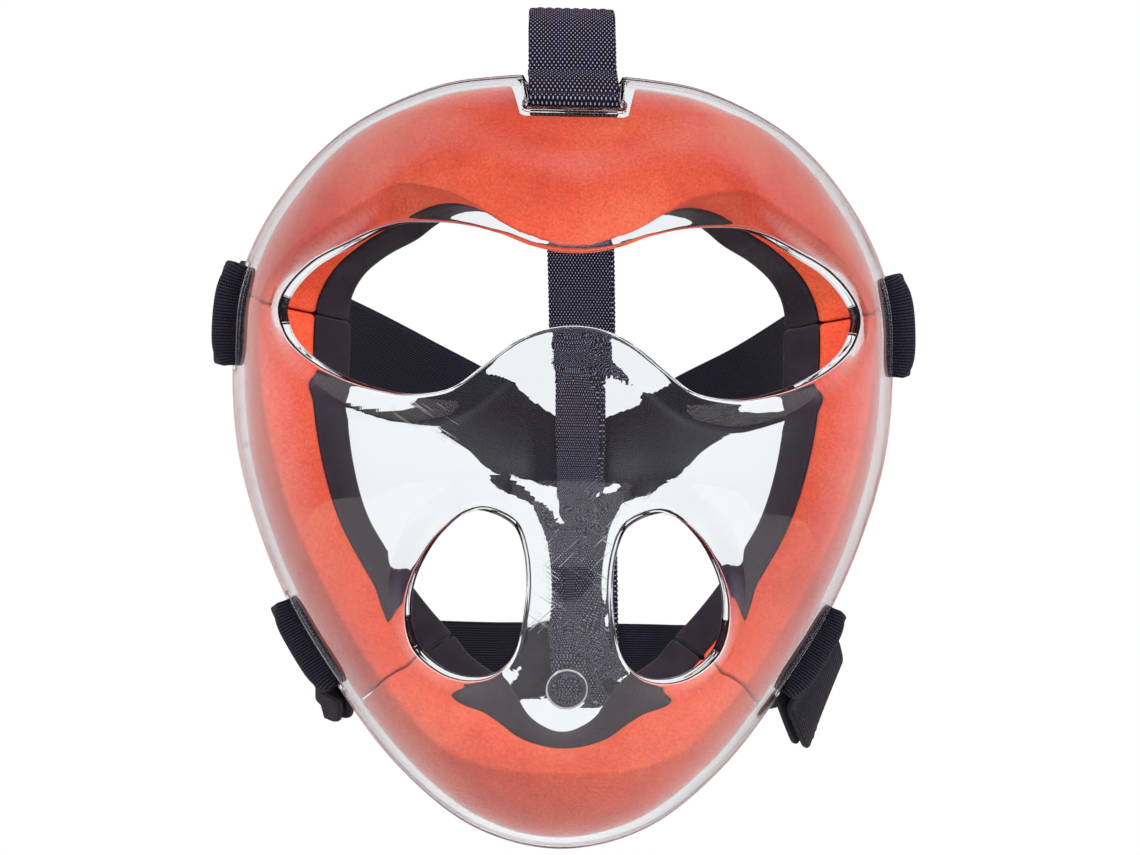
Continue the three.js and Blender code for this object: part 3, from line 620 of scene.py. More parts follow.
@dataclass(frozen=True)
class WovenWebbing:
    """Woven polypropylene webbing: blue-black yarns with a faint gloss and a painted pale highlight where they cross,
    ribbed at the bend.
    """

    colour: str = "#0E0D16"
    # The ridge colour is a painted highlight: the raised yarn crossings are coloured pale
    ridge: str = "#8688A6"
    warp: float = 0.6 * MM
    weft: float = 1.0 * MM
    bend: float = 18 * MM
    fibre: float = MM / 3.2

    def material(self) -> Material:
        """Build the material.

        Returns:
            The material.
        """
        material, tree = new_material("polypropylene_webbing_black")
        place = add_node(tree, "TexCoord").outputs["UV"]
        axes = add_node(tree, "SeparateXYZ", {0: place})
        # Where the webbing bends round the bar its rows stand twice as far apart
        bent = add_node(tree, "MapRange", {
            "Value": axes.outputs["X"], "From Min": self.bend, "From Max": 1.05 * self.bend, "To Min": 0.5,
        })
        rows = add_node(tree, "Math", {0: axes.outputs["X"], 1: bent.outputs["Result"]}, operation="MULTIPLY")
        waves = []
        for along, pitch in ((rows.outputs[0], self.weft), (axes.outputs["Y"], self.warp)):
            angle = add_node(tree, "Math", {0: along, 1: math.pi / pitch}, operation="MULTIPLY")
            waves.append(add_node(tree, "Math", {0: angle.outputs[0]}, operation="SINE").outputs[0])
        crossing = add_node(tree, "Math", {0: waves[0], 1: waves[1]}, operation="MULTIPLY")
        rise = add_node(tree, "Math", {0: crossing.outputs[0]}, operation="ABSOLUTE")
        side = add_node(tree, "MapRange", {
            "Value": crossing.outputs[0], "From Min": -0.2, "From Max": 0.2, "To Min": 0.3,
        })
        fibres = add_node(tree, "TexNoise", {"Vector": place, "Scale": 1 / self.fibre, "Detail": 2.0})
        height = add_node(tree, "Math", {
            0: fibres.outputs["Fac"], 1: 0.25, 2: rise.outputs[0],
        }, operation="MULTIPLY_ADD")
        # Painted highlight: the higher a crossing stands the paler it is painted, and only about a third as much where
        # the crossing runs the other way
        share = add_node(tree, "Math", {0: height.outputs[0], 1: side.outputs["Result"]}, operation="MULTIPLY")
        body = add_node(tree, "ValToRGB", {"Fac": share.outputs[0]}, stops=[(0.5, self.colour), (0.95, self.ridge)])
        look = {"Roughness": 0.6, "Specular IOR Level": 0.3}
        cover(tree, body.outputs["Color"], height.outputs[0], 0.8, 0.25 * MM, look)
        return material


@dataclass(frozen=True)
class SewingThread:
    """Bonded nylon sewing thread: black, twisted and slightly glossy, with the strands' crowns worn brown."""

    colour: str = "#1C1A20"
    crown: str = "#4A4038"
    twist: float = 0.5 * MM

    def material(self) -> Material:
        """Build the material.

        Returns:
            The material.
        """
        material, tree = new_material("bonded_nylon_thread_black")
        place = add_node(tree, "TexCoord").outputs["Object"]
        strands = add_node(tree, "TexWave", {"Vector": place, "Scale": 1 / self.twist, "Distortion": 2.0})
        body = add_node(tree, "ValToRGB", {"Fac": strands.outputs["Fac"]}, stops=[(0, self.colour), (1, self.crown)])
        cover(tree, body.outputs["Color"], strands.outputs["Fac"], 0.4, 0.1 * MM, {"Roughness": 0.5})
        return material


@dataclass(frozen=True)
class NylonHooks:
    """Moulded nylon hook tape: black, with a slight plastic gloss on the hooks' crowns."""

    colour: str = "#131216"
    crown: str = "#2F2D33"
    grain: float = MM / 1.5

    def material(self) -> Material:
        """Build the material.

        Returns:
            The material.
        """
        material, tree = new_material("nylon_hook_tape_black")
        place = add_node(tree, "TexCoord").outputs["Object"]
        ground = add_node(tree, "TexNoise", {"Vector": place, "Scale": 1 / self.grain, "Detail": 3.0})
        body = add_node(tree, "ValToRGB", {"Fac": ground.outputs["Fac"]}, stops=[
            (0.35, self.colour), (0.7, self.crown),
        ])
        cover(tree, body.outputs["Color"], ground.outputs["Fac"], 0.4, 0.1 * MM, {"Roughness": 0.45})
        return material


class Finish(Enum):
    """The finishes of the mask's pieces."""

    SHELL = "polycarbonate"
    FOAM = "foam"
    LINER = "liner"
    ELASTIC = "elastic"
    WEBBING = "webbing"
    HOOK = "hook"


# ---------------------------------------------------------------- the shell's form


@dataclass
class ShellForm:
    """The shell's moulded surface, bent from a flat disc, with the relief of nose, brow and lips."""

    width: float = 196 * MM
    height: float = 218 * MM
    eye_line_drop: float = 67 * MM
    side_depth: float = 88 * MM
    top_depth: float = 45 * MM
    chin_depth: float = 50 * MM
    wall: float = 3 * MM
    rim_turn: float = math.radians(80)
    fullness: float = 2.4
    rim_shares: Pairs = (
        (0, 1), (0.21, 0.995), (0.396, 0.971), (0.666, 0.861), (0.873, 0.669), (0.981, 0.465), (1, 0.25),
        (0.983, 0.03), (0.919, -0.185), (0.815, -0.398), (0.662, -0.606), (0.47, -0.806), (0.245, -0.951), (0, -1),
    )
    eye_half_width: float = 78 * MM
    eye_rise: float = 23 * MM
    eye_drop: float = 24 * MM
    eye_upper_shares: Pairs = (
        (0, 0.51), (0.137, 0.59), (0.25, 0.745), (0.366, 0.85), (0.482, 0.885), (0.61, 0.86), (0.76, 0.68),
        (0.905, 0.44), (1, 0.02),
    )
    eye_lower_shares: Pairs = (
        (0.976, -0.32), (0.905, -0.57), (0.76, -0.84), (0.61, -0.98), (0.535, -1), (0.403, -0.93),
        (0.302, -0.7), (0.202, -0.46), (0.105, -0.33), (0, -0.29),
    )
    mouth_inner: float = 11 * MM
    mouth_outer: float = 42 * MM
    mouth_top_drop: float = 54 * MM
    mouth_bottom_drop: float = 98.5 * MM
    mouth_shares: Pairs = (
        (0.36, 0), (0.56, 0.035), (0.74, 0.14), (0.87, 0.275), (0.965, 0.43), (1, 0.58), (0.98, 0.735),
        (0.9, 0.86), (0.66, 0.975), (0.42, 1), (0.22, 0.955), (0.08, 0.83), (0.015, 0.6), (0, 0.4),
        (0.03, 0.22), (0.11, 0.08),
    )
    # Down the middle: how far below the eye line, how high the nose ridge stands and how far it reaches sideways
    ridge: Triples = (
        (0, 10, 20), (12, 10, 20), (46, 15, 24), (62, 7, 14), (84, 6, 12), (101, 3.5, 26), (122, 0, 26),
    )
    brow_bulge: float = 6 * MM
    brow_point: float = 5 * MM
    brow_point_half_width: float = 18 * MM
    brow_edge_share: float = 0.5
    brow_crest: float = 10 * MM
    brow_fade: float = 26 * MM
    brow_reach: float = 72 * MM
    eye_lip: float = 2.2 * MM
    mouth_lip: float = 2.4 * MM
    lip_width: float = 9 * MM
    # How many points draw each loop, the ridge and a meridian, and the small step that slopes are taken over
    eye_points: int = 240
    mouth_points: int = 96
    reach_points: int = 720
    ridge_points: int = 241
    meridian_points: int = 400
    nudge: float = 1e-3

    def __post_init__(self) -> None:
        """Work out the loops that the surface needs."""
        self.half_width = self.width / 2
        self.half_height = self.height / 2
        self.mid_z = self.eye_line_drop - self.half_height
        self.front_y = -self.side_depth
        size = np.array([self.half_width, self.half_height])
        rim = mirrored(self.rim_shares) * size + [0, self.mid_z]
        self.rim_radius = self.polar_reach(rim)
        upper = np.array(self.eye_upper_shares) * [self.eye_half_width, self.eye_rise]
        lower = np.array(self.eye_lower_shares) * [self.eye_half_width, self.eye_drop]
        self.eye_edge = upper
        self.eye_loop = catmull_rom(mirrored(np.concatenate([upper, lower])), self.eye_points, closed=True)
        shares = np.array(self.mouth_shares)
        across = self.mouth_inner + (self.mouth_outer - self.mouth_inner) * shares[:, 0]
        down = self.mouth_top_drop + (self.mouth_bottom_drop - self.mouth_top_drop) * shares[:, 1]
        self.mouth_loop = catmull_rom(np.stack([across, -down], axis=1), self.mouth_points, closed=True)

    def polar_reach(self, corners: Array) -> Callable[[Array], Array]:
        """Return the distance of a smooth closed loop from the shell's centre as a function of the angle.

        Args:
            corners: Points (x, z) of the loop as seen from the front.

        Returns:
            A function of angles, anticlockwise from +X.
        """
        loop = catmull_rom(corners, self.reach_points, closed=True) - [0, self.mid_z]
        angles = np.arctan2(loop[:, 1], loop[:, 0])
        order = np.argsort(angles)
        angles, reach = angles[order], np.hypot(loop[:, 0], loop[:, 1])[order]
        return lambda angle: np.interp(angle, angles, reach, period=2 * math.pi)

    def rim_fall(self, angle: Array) -> Array:
        """Return how far behind the front the rim lies.

        Args:
            angle: Anticlockwise from +X.

        Returns:
            The distances.
        """
        lift = np.abs(np.sin(angle)) ** 3
        end = np.where(np.sin(angle) > 0, self.top_depth, self.chin_depth)
        return self.side_depth + (end - self.side_depth) * lift

    def dome_point(self, share: Array, angle: Array) -> Array:
        """Return points of the smooth dome at shares of the way from its front to the rim.

        Args:
            share: 0 at the front and 1 at the rim.
            angle: Anticlockwise from +X.

        Returns:
            Points, with coordinates along the last axis.
        """
        turn = share * self.rim_turn
        power = 2 / self.fullness
        reach = self.rim_radius(angle) * (np.sin(turn) / math.sin(self.rim_turn)) ** power
        fall = self.rim_fall(angle) * (1 - np.abs(np.cos(turn)) ** power) / (1 - math.cos(self.rim_turn) ** power)
        return np.stack(
            [reach * np.cos(angle), self.front_y + fall, self.mid_z + reach * np.sin(angle)], axis=-1
        )

    def dome(self, u: Array, v: Array) -> Array:
        """Return the dome's points for places of the flat pattern."""
        return self.dome_point(np.hypot(u, v) / self.half_height, np.arctan2(v, u))

    def flat_point(self, share: Array, angle: Array) -> Array:
        """Return the place (u, v) in the flat pattern."""
        reach = share * self.half_height
        return np.stack([reach * np.cos(angle), reach * np.sin(angle)], axis=-1)

    def flat_from_front(self, loop: Array) -> Array:
        """Return the places in the flat pattern of points (x, z) seen from the front.

        Args:
            loop: The points.

        Returns:
            The places (u, v).
        """
        angle = np.arctan2(loop[:, 1] - self.mid_z, loop[:, 0])
        reach = np.hypot(loop[:, 0], loop[:, 1] - self.mid_z) / self.rim_radius(angle)
        turn = np.arcsin(np.minimum(1, reach ** (self.fullness / 2) * math.sin(self.rim_turn)))
        return self.flat_point(turn / self.rim_turn, angle)

    def normal(self, surface: Surface, u: Array, v: Array) -> Array:
        """Return a surface's outward unit normals over the flat pattern.

        Args:
            surface: The dome or the face, as a function of the place.
            u: The places' first coordinates.
            v: Their second ones.

        Returns:
            The normals.
        """
        step = self.half_height * self.nudge
        along_u = surface(u + step, v) - surface(u - step, v)
        along_v = surface(u, v + step) - surface(u, v - step)
        return unit(np.cross(along_u, along_v))

    def under_dome(self, share: Array, angle: Array, depth: Array) -> Array:
        """Return points at a depth under the dome's face.

        Args:
            share: 0 at the front and 1 at the rim.
            angle: Anticlockwise from +X.
            depth: The depth, or one for each point.

        Returns:
            The points.
        """
        flat = self.flat_point(share, angle)
        u, v = flat[..., 0], flat[..., 1]
        depth = np.broadcast_to(depth, u.shape)[..., None]
        return self.dome(u, v) - self.normal(self.dome, u, v) * depth

    def share_from_rim(self, angle: Array, length: Array) -> Array:
        """Return the shares that lie given lengths in from the rim, measured along the dome.

        Args:
            angle: Anticlockwise from +X.
            length: The length, or one for each angle.

        Returns:
            A share for each angle.
        """
        angle = np.atleast_1d(angle)
        length = np.broadcast_to(length, angle.shape)
        shares = np.linspace(1, 0, self.meridian_points + 1)[:-1]
        meridians = self.dome_point(shares[:, None], angle[None, :])
        lengths = travelled(meridians)
        return np.array([np.interp(length[i], lengths[:, i], shares) for i in range(len(angle))])

    def angle_along(self, angle: float, length: Array, from_rim: Array) -> Array:
        """Return the angles reached by going lengths along the rim from an angle, at a distance in from it.

        Args:
            angle: Where it starts.
            length: The length, or several.
            from_rim: The distance in from the rim, or one for each length.

        Returns:
            An angle for each length.
        """
        length = np.atleast_1d(length)
        from_rim = np.broadcast_to(from_rim, length.shape)
        share = self.share_from_rim(np.full(length.shape, angle), from_rim)
        ahead = self.dome_point(share, np.full(length.shape, angle + self.nudge))
        behind = self.dome_point(share, np.full(length.shape, angle - self.nudge))
        return angle + length * 2 * self.nudge / np.linalg.norm(ahead - behind, axis=-1)

    def rim_frame(self, angle: Array, length: float) -> tuple[Array, Array, Array]:
        """Return points a length in from the rim, the dome's normals there and the directions to the rim.

        Args:
            angle: Anticlockwise from +X.
            length: The length in from the rim.

        Returns:
            The points, the normals and the directions.
        """
        share = self.share_from_rim(angle, length)
        flat = self.flat_point(share, angle)
        outward = self.normal(self.dome, flat[:, 0], flat[:, 1])
        rimward = unit(self.dome_point(share + self.nudge, angle) - self.dome_point(share - self.nudge, angle))
        return self.dome_point(share, angle), outward, rimward

    def ridge_relief(self, x: Array, z: Array) -> Array:
        """Return the height of the nose ridge and of the column between the mouth openings.

        Args:
            x: Across, from the middle.
            z: Up, from the eye line.

        Returns:
            The heights.
        """
        drops, heights, reaches = catmull_rom(np.array(self.ridge) * MM, self.ridge_points).T
        height = np.interp(-z, drops, heights, left=0, right=0)
        return height * np.exp(-((x / np.interp(-z, drops, reaches)) ** 2))

    def brow_relief(self, x: Array, z: Array) -> Array:
        """Return the height of the brow's bulge over the eye opening.

        Args:
            x: Across, from the middle.
            z: Up, from the eye line.

        Returns:
            The heights.
        """
        edge = np.interp(np.abs(x), self.eye_edge[:, 0], self.eye_edge[:, 1], right=0)
        above = np.maximum(0, z - edge)
        climb = np.sin(math.pi / 2 * np.minimum(1, above / self.brow_crest))
        rise = self.brow_edge_share + (1 - self.brow_edge_share) * climb
        fade = 1 - smoothstep(above, self.brow_crest, self.brow_crest + self.brow_fade)
        along = self.brow_bulge * (1 - smoothstep(np.abs(x), self.brow_reach / 2, self.brow_reach))
        point = self.brow_point * np.exp(-((x / self.brow_point_half_width) ** 2))
        return np.where(z < 0, 0, (along + point) * rise * fade)

    def lip_relief(self, loop: Array, height: float, x: Array, z: Array) -> Array:
        """Return the height of the lip round a loop.

        Args:
            loop: The opening's edge, seen from the front.
            height: How high the lip is at the edge.
            x: Across, from the middle.
            z: Up, from the eye line.

        Returns:
            The heights.
        """
        (low_x, low_z), (high_x, high_z) = loop.min(axis=0), loop.max(axis=0)
        reach = self.lip_width
        close = (x > low_x - reach) & (x < high_x + reach) & (z > low_z - reach) & (z < high_z + reach)
        lip = np.zeros(x.shape)
        near_x, near_z = x[close], z[close]
        least = np.full(near_x.shape, np.inf)
        for start, end in zip(loop, np.roll(loop, -1, axis=0)):
            dx, dz = end - start
            share = np.clip(((near_x - start[0]) * dx + (near_z - start[1]) * dz) / (dx * dx + dz * dz), 0, 1)
            away = np.hypot(start[0] + share * dx - near_x, start[1] + share * dz - near_z)
            least = np.minimum(least, away)
        lip[close] = height * (1 - smoothstep(least, 0, reach))
        return lip

    def relief(self, x: Array, z: Array) -> Array:
        """Return how far the shell's face stands out from the dome.

        Args:
            x: Across, from the middle.
            z: Up, from the eye line.

        Returns:
            The distances.
        """
        eye = self.lip_relief(self.eye_loop, self.eye_lip, x, z)
        mouth = self.lip_relief(self.mouth_loop, self.mouth_lip, np.abs(x), z)
        return self.ridge_relief(x, z) + self.brow_relief(x, z) + np.maximum(eye, mouth)

    def face(self, u: Array, v: Array) -> Array:
        """Return points of the shell's outer face over the flat pattern.

        Args:
            u: The places' first coordinates.
            v: Their second ones.

        Returns:
            The points.
        """
        points = self.dome(u, v)
        rise = self.relief(points[..., 0], points[..., 2])
        return points + self.normal(self.dome, u, v) * rise[..., None]


# ---------------------------------------------------------------- the shell


@dataclass
class Outline:
    """One edge of the shell in the flat pattern, as close points, with the directions out of the material."""

    points: Array
    hole: bool
    spacing: float = 0.2 * MM

    def __post_init__(self) -> None:
        """Space the points evenly and find the directions."""
        closed = np.concatenate([self.points, self.points[:1]])[:, None]
        closed = np.concatenate([closed, np.zeros((*closed.shape[:2], 1))], axis=2)
        count = max(60, round(float(travelled(closed)[-1, 0]) / self.spacing))
        self.points = at_lengths(closed, np.arange(count) / count)[:, 0, :2]
        x, y = self.points.T
        area = np.sum(x * np.roll(y, -1) - y * np.roll(x, -1))
        self.along = unit(np.roll(self.points, -1, axis=0) - np.roll(self.points, 1, axis=0))
        self.outward = self.along[:, ::-1] * [1, -1] * np.sign(area) * (-1 if self.hole else 1)

    def at(self, share: Array) -> tuple[Array, Array, Array]:
        """Return places, directions along the edge and directions out of the material, at shares of the loop.

        Args:
            share: The shares.

        Returns:
            The places and both sets of directions.
        """
        count = len(self.points)
        stations = np.arange(count + 1) / count
        found = []
        for values in (self.points, self.along, self.outward):
            closed = np.concatenate([values, values[:1]])
            found.append(np.stack([np.interp(share % 1, stations, closed[:, axis]) for axis in (0, 1)], axis=1))
        return found[0], unit(found[1]), unit(found[2])


@dataclass
class Shell:
    """The clear shell: one moulding with rounded edges, slots, a sunk bar at the top and a gate mark."""

    form: ShellForm
    cell: float = 1.5 * MM
    edge_radius: float = 1.1 * MM
    edge_steps: int = 12
    edge_squareness: float = 0.5
    slot_length: float = 32.4 * MM
    slot_near: float = 7 * MM
    slot_width: float = 5.5 * MM
    slot_corner: float = 1.5 * MM
    slot_angles: tuple[float, float] = (math.radians(23), math.radians(-36.5))
    top_slot_length: float = 27.4 * MM
    top_slot_width: float = 3.5 * MM
    top_bar_inset: float = 1.5 * MM
    top_bar_width: float = 18 * MM
    top_bar_drop: float = 2 * MM
    top_bar_root: float = 1.2 * MM
    gate_drop: float = 101 * MM
    gate_radius: float = 5.3 * MM
    gate_groove: float = 0.06 * MM
    groove_half_width: float = 0.25 * MM
    notch_blend: float = 0.8 * MM
    # The hollow of the sunk bar: the part of the face that it lies in, in radians and as a share of the pattern
    hollow_half_angle: float = 0.4
    hollow_lowest: float = 0.6
    # How the hollow runs out: inside and outside the slot's ends, and below its near and above its far side
    hollow_sides: tuple[float, float] = (0.3 * MM, 0.9 * MM)
    hollow_foot: tuple[float, float] = (0.4 * MM, 0.6 * MM)
    # How far from the openings, the slots and the gate mark the sheet's cells are split, and split again
    lip_reach: float = 8 * MM
    slot_reaches: tuple[float, float] = (3.5 * MM, 1.8 * MM)
    gate_reach: float = 1 * MM
    bar_row: float = 2 * MM
    bar_rows: int = 14
    top_reach: float = 20 * MM
    # How far inside an outline a vertex still counts as outside, in shares of its shortest edge
    trim_share: float = 0.3
    slot_steps: tuple[int, int, int] = (16, 2, 4)
    rim_points: int = 3000
    hollow_points: int = 80
    gate_points: int = 60
    spread_rounds: int = 60
    fit_rounds: int = 3
    relax_cells: int = 4
    relax_rounds: int = 10

    def slot_outline(self, angle: float, length: float, near: float, far: float) -> Outline:
        """Return a slot that lies along the rim, as a rectangle with rounded corners.

        Args:
            angle: The angle of its middle.
            length: Its length along the rim.
            near: Its distance from the rim.
            far: The distance of its other side.

        Returns:
            The outline in the flat pattern.
        """
        share_x, share_y, push_x, push_y = rounded_section(*self.slot_steps)
        along = length * (share_x - 0.5) + self.slot_corner * push_x
        from_rim = near + (far - near) * share_y + self.slot_corner * push_y
        angles = np.array([self.form.angle_along(angle, a, f)[0] for a, f in zip(along, from_rim)])
        return Outline(self.form.flat_point(self.form.share_from_rim(angles, from_rim), angles), hole=True)

    def along_top(self, angle: Array) -> Array:
        """Return the distance along the rim from its topmost point, for angles near the top.

        Args:
            angle: Anticlockwise from +X.

        Returns:
            The distances, negative on the wearer's left.
        """
        turn = self.form.angle_along(math.pi / 2, self.top_reach, 0)[0] - math.pi / 2
        return (angle - math.pi / 2) * self.top_reach / turn

    def outlines(self) -> tuple[Outline, list[Outline], list[Outline]]:
        """Return the rim, the openings and the slots, in the flat pattern.

        Returns:
            The rim, the three openings and the five slots, the top one last.
        """
        form = self.form
        angles = np.linspace(0, 2 * math.pi, self.rim_points, endpoint=False)
        inset = 1 - form.share_from_rim(np.array([math.pi / 2]), self.top_bar_inset)[0]
        half = self.top_slot_length / 2
        notch = 1 - smoothstep(np.abs(self.along_top(angles)), half - self.notch_blend, half + self.notch_blend)
        rim = Outline(form.flat_point(1 - inset * notch, angles), hole=False)
        other = form.mouth_loop[::-1] * [-1, 1]
        openings = [Outline(form.flat_from_front(loop), hole=True) for loop in (form.eye_loop, form.mouth_loop, other)]
        near = self.slot_near
        slots = [
            self.slot_outline(turned, self.slot_length, near, near + self.slot_width)
            for angle in self.slot_angles
            for turned in (angle, math.pi - angle)
        ]
        near = self.top_bar_inset + self.top_bar_width
        slots.append(self.slot_outline(math.pi / 2, self.top_slot_length, near, near + self.top_slot_width))
        return rim, openings, slots

    def sunk(self, u: Array, v: Array) -> Array:
        """Return how far the face is sunk at the top bar.

        Args:
            u: The places' first coordinates.
            v: Their second ones.

        Returns:
            The distances.
        """
        angle, share = np.arctan2(v, u), np.hypot(u, v) / self.form.half_height
        sunk = np.zeros(u.shape)
        top = np.abs(angle - math.pi / 2) < self.hollow_half_angle
        half = self.top_slot_length / 2
        shares = np.linspace(1, self.hollow_lowest, self.hollow_points)
        down = travelled(self.form.dome_point(shares, np.full(shares.shape, math.pi / 2))[:, None])[:, 0]
        from_rim = np.interp(-share[top], -shares, down)
        inside, outside = self.hollow_sides
        sides = 1 - smoothstep(np.abs(self.along_top(angle[top])), half - inside, half + outside)
        foot = self.top_bar_inset + self.top_bar_width
        near, far = self.hollow_foot
        below = 1 - smoothstep(from_rim, foot + near, foot + self.top_slot_width - far)
        sunk[top] = self.top_bar_drop * sides * below
        return sunk

    def gate_relief(self, points: Array) -> Array:
        """Return how deep the round gate mark is cut into the outer face."""
        away = np.hypot(points[:, 0], points[:, 2] + self.gate_drop)
        return self.gate_groove * np.exp(-(((away - self.gate_radius) / self.groove_half_width) ** 2))

    def refine(self, bm: BMesh, groups: list[Array], reach: float) -> None:
        """Split in four the faces whose middle lies within reach of any point.

        Args:
            bm: The sheet in the flat pattern.
            groups: Lists of points (u, v).
            reach: The greatest distance.
        """
        tree, _ = point_tree(groups)
        near = [face for face in bm.faces if tree.find(face.calc_center_median())[2] < reach]
        marked = {edge for face in near for edge in face.edges}
        edges = [edge for edge in bm.edges if edge in marked]
        bmesh.ops.subdivide_edges(bm, edges=edges, cuts=1, use_grid_fill=True)

    def trim(self, bm: BMesh, outlines: list[Outline]) -> None:
        """Delete the faces outside the material, and those that hang on by a corner or by one side.

        Args:
            bm: The sheet in the flat pattern.
            outlines: The outlines that it ends at.
        """
        tree, owners = point_tree([outline.points for outline in outlines])
        outside = set()
        for vert in bm.verts:
            group, station = owners[tree.find(vert.co)[1]]
            outline = outlines[group]
            away = np.dot(np.array(vert.co)[:2] - outline.points[station], outline.outward[station])
            size = min((edge.calc_length() for edge in vert.link_edges), default=self.cell)
            if away > -self.trim_share * size:
                outside.add(vert)
        gone = [face for face in bm.faces if any(vert in outside for vert in face.verts)]
        bmesh.ops.delete(bm, geom=gone, context="FACES")
        while True:
            loose = {face for face in bm.faces if sum(edge.is_boundary for edge in face.edges) > 2}
            for vert in bm.verts:
                if sum(edge.is_boundary for edge in vert.link_edges) > 2:
                    loose.update(vert.link_faces)
            if not loose:
                break
            bmesh.ops.delete(bm, geom=[face for face in bm.faces if face in loose], context="FACES")

    def edge_loops(self, bm: BMesh) -> list[list[BMVert]]:
        """Return the vertices of each open edge of the sheet, in order.

        Args:
            bm: The sheet.

        Returns:
            The loops.
        """
        loops, seen = [], set()
        for first in [edge for edge in bm.edges if edge.is_boundary]:
            if first.verts[0] in seen:
                continue
            loop, vert, edge = [], first.verts[0], first
            while vert not in seen:
                seen.add(vert)
                loop.append(vert)
                vert = edge.other_vert(vert)
                edge = next(e for e in vert.link_edges if e.is_boundary and e is not edge)
            loops.append(loop)
        return loops

    def slope(self, places: Array, ways: Array) -> Array:
        """Return how the face runs in space per metre of the flat pattern, at places and in given directions.

        Args:
            places: The places (u, v).
            ways: The directions in the flat pattern.

        Returns:
            The directions in space.
        """
        step = 0.1 * MM
        ahead, behind = places + ways * step, places - ways * step
        rise = self.form.face(ahead[:, 0], ahead[:, 1]) - self.form.face(behind[:, 0], behind[:, 1])
        return rise / (2 * step)

    def fit_edges(self, bm: BMesh, outlines: list[Outline]) -> dict[int, Array]:
        """Move the sheet's open edges to just inside the outlines.

        Args:
            bm: The trimmed sheet in the flat pattern.
            outlines: The outlines that it ends at.

        Returns:
            For each moved vertex, by index, the direction out of the material in space.
        """
        tree, owners = point_tree([outline.points for outline in outlines])
        directions: dict[int, Array] = {}
        for loop in self.edge_loops(bm):
            found = [owners[tree.find(vert.co)[1]] for vert in loop]
            outline = outlines[found[0][0]]
            share = np.array([station for _, station in found]) / len(outline.points)
            hops = (np.diff(share, append=share[0]) + 0.5) % 1 - 0.5
            whole = round(float(hops.sum()))
            share = share[0] + np.concatenate([[0], np.cumsum(hops)[:-1]])
            for _ in range(self.spread_rounds):
                before, after = np.roll(share, 1), np.roll(share, -1)
                before[0] -= whole
                after[-1] += whole
                share = 0.5 * share + 0.25 * (before + after)
            place, along, outward = outline.at(share)
            inset = np.full(len(loop), self.edge_radius)
            for _ in range(self.fit_rounds):
                inner = place - outward * inset[:, None]
                tangent = unit(self.slope(inner, along))
                across = self.slope(inner, outward)
                out = unit(across - tangent * np.sum(across * tangent, axis=1, keepdims=True))
                inset = self.edge_radius / np.sum(across * out, axis=1)
            inner = place - outward * inset[:, None]
            for vert, co, way in zip(loop, inner, out):
                vert.co = (co[0], co[1], 0)
                directions[vert.index] = way
        return directions

    def relax(self, bm: BMesh, outlines: list[Outline]) -> None:
        """Even out the cells next to the sheet's edges.

        Args:
            bm: The fitted sheet.
            outlines: The outlines that it ends at.
        """
        tree, _ = point_tree([outline.points for outline in outlines])
        reach = self.relax_cells * self.cell
        near = [vert for vert in bm.verts if not vert.is_boundary and tree.find(vert.co)[2] < reach]
        for _ in range(self.relax_rounds):
            bmesh.ops.smooth_vert(bm, verts=near, factor=0.5, use_axis_x=True, use_axis_y=True, use_axis_z=False)

    def flat_sheet(self) -> tuple[BMesh, dict[int, Array]]:
        """Lay out the sheet in the flat pattern, with its open edges fitted to the outlines.

        Returns:
            The sheet, and the directions out of the material by the vertices' indices.
        """
        form = self.form
        rim, openings, slots = self.outlines()
        every = [rim, *openings, *slots]
        bm = bmesh.new()
        reach = form.half_height + self.cell
        steps = 2 * round(reach / self.cell)
        bmesh.ops.create_grid(bm, x_segments=steps, y_segments=steps, size=reach)
        gate = form.flat_from_front(np.array([[0.0, -self.gate_drop]]))
        turns = np.linspace(0, 2 * math.pi, self.gate_points)
        gate_ring = gate + self.gate_radius * np.stack([np.cos(turns), np.sin(turns)], axis=1)
        bar = [slots[-1].points + [0, row * self.bar_row] for row in range(self.bar_rows)]
        self.refine(bm, [outline.points for outline in openings], self.lip_reach)
        for near in self.slot_reaches:
            self.refine(bm, [outline.points for outline in slots] + [*bar, gate_ring], near)
        self.refine(bm, [gate_ring], self.gate_reach)
        self.trim(bm, every)
        bm.verts.index_update()
        ways = self.fit_edges(bm, every)
        self.relax(bm, every)
        return bm, ways

    def build(self, finish: Material) -> Object:
        """Build the shell: a fitted flat sheet, its copy for the inner face, and edges rolled between them.

        Args:
            finish: The shell's material.

        Returns:
            The shell.
        """
        form = self.form
        bm, ways = self.flat_sheet()
        flat = np.array([vert.co[:2] for vert in bm.verts])
        u, v = flat[:, 0], flat[:, 1]
        normal = form.normal(form.face, u, v)
        face = form.face(u, v) - form.normal(form.dome, u, v) * self.sunk(u, v)[:, None]
        outer = face - normal * self.gate_relief(face)[:, None]
        inner = face - normal * form.wall
        station = bm.verts.layers.int.new("station")
        for vert in bm.verts:
            vert[station] = vert.index
        edge = [item for item in bm.edges if item.is_boundary]
        copy = bmesh.ops.duplicate(bm, geom=bm.verts[:] + bm.edges[:] + bm.faces[:])["geom"]
        for vert in bm.verts:
            vert.co = outer[vert[station]]
        back = [item for item in copy if isinstance(item, BMVert)]
        for vert in back:
            vert.co = inner[vert[station]]
        half_wall = form.wall / 2
        last: list[BMVert] = []
        for step in range(1, self.edge_steps + 1):
            turn = math.pi * step / self.edge_steps
            out = self.edge_radius * math.sin(turn) ** self.edge_squareness
            sunk = half_wall * (1 - math.copysign(abs(math.cos(turn)) ** self.edge_squareness, math.cos(turn)))
            grown = bmesh.ops.extrude_edge_only(bm, edges=edge)["geom"]
            edge = [item for item in grown if isinstance(item, BMEdge)]
            last = [item for item in grown if isinstance(item, BMVert)]
            for vert in last:
                at = vert[station]
                vert.co = face[at] + ways[at] * out - normal[at] * sunk
        bmesh.ops.remove_doubles(bm, verts=last + [vert for vert in back if vert.is_boundary], dist=1e-6)
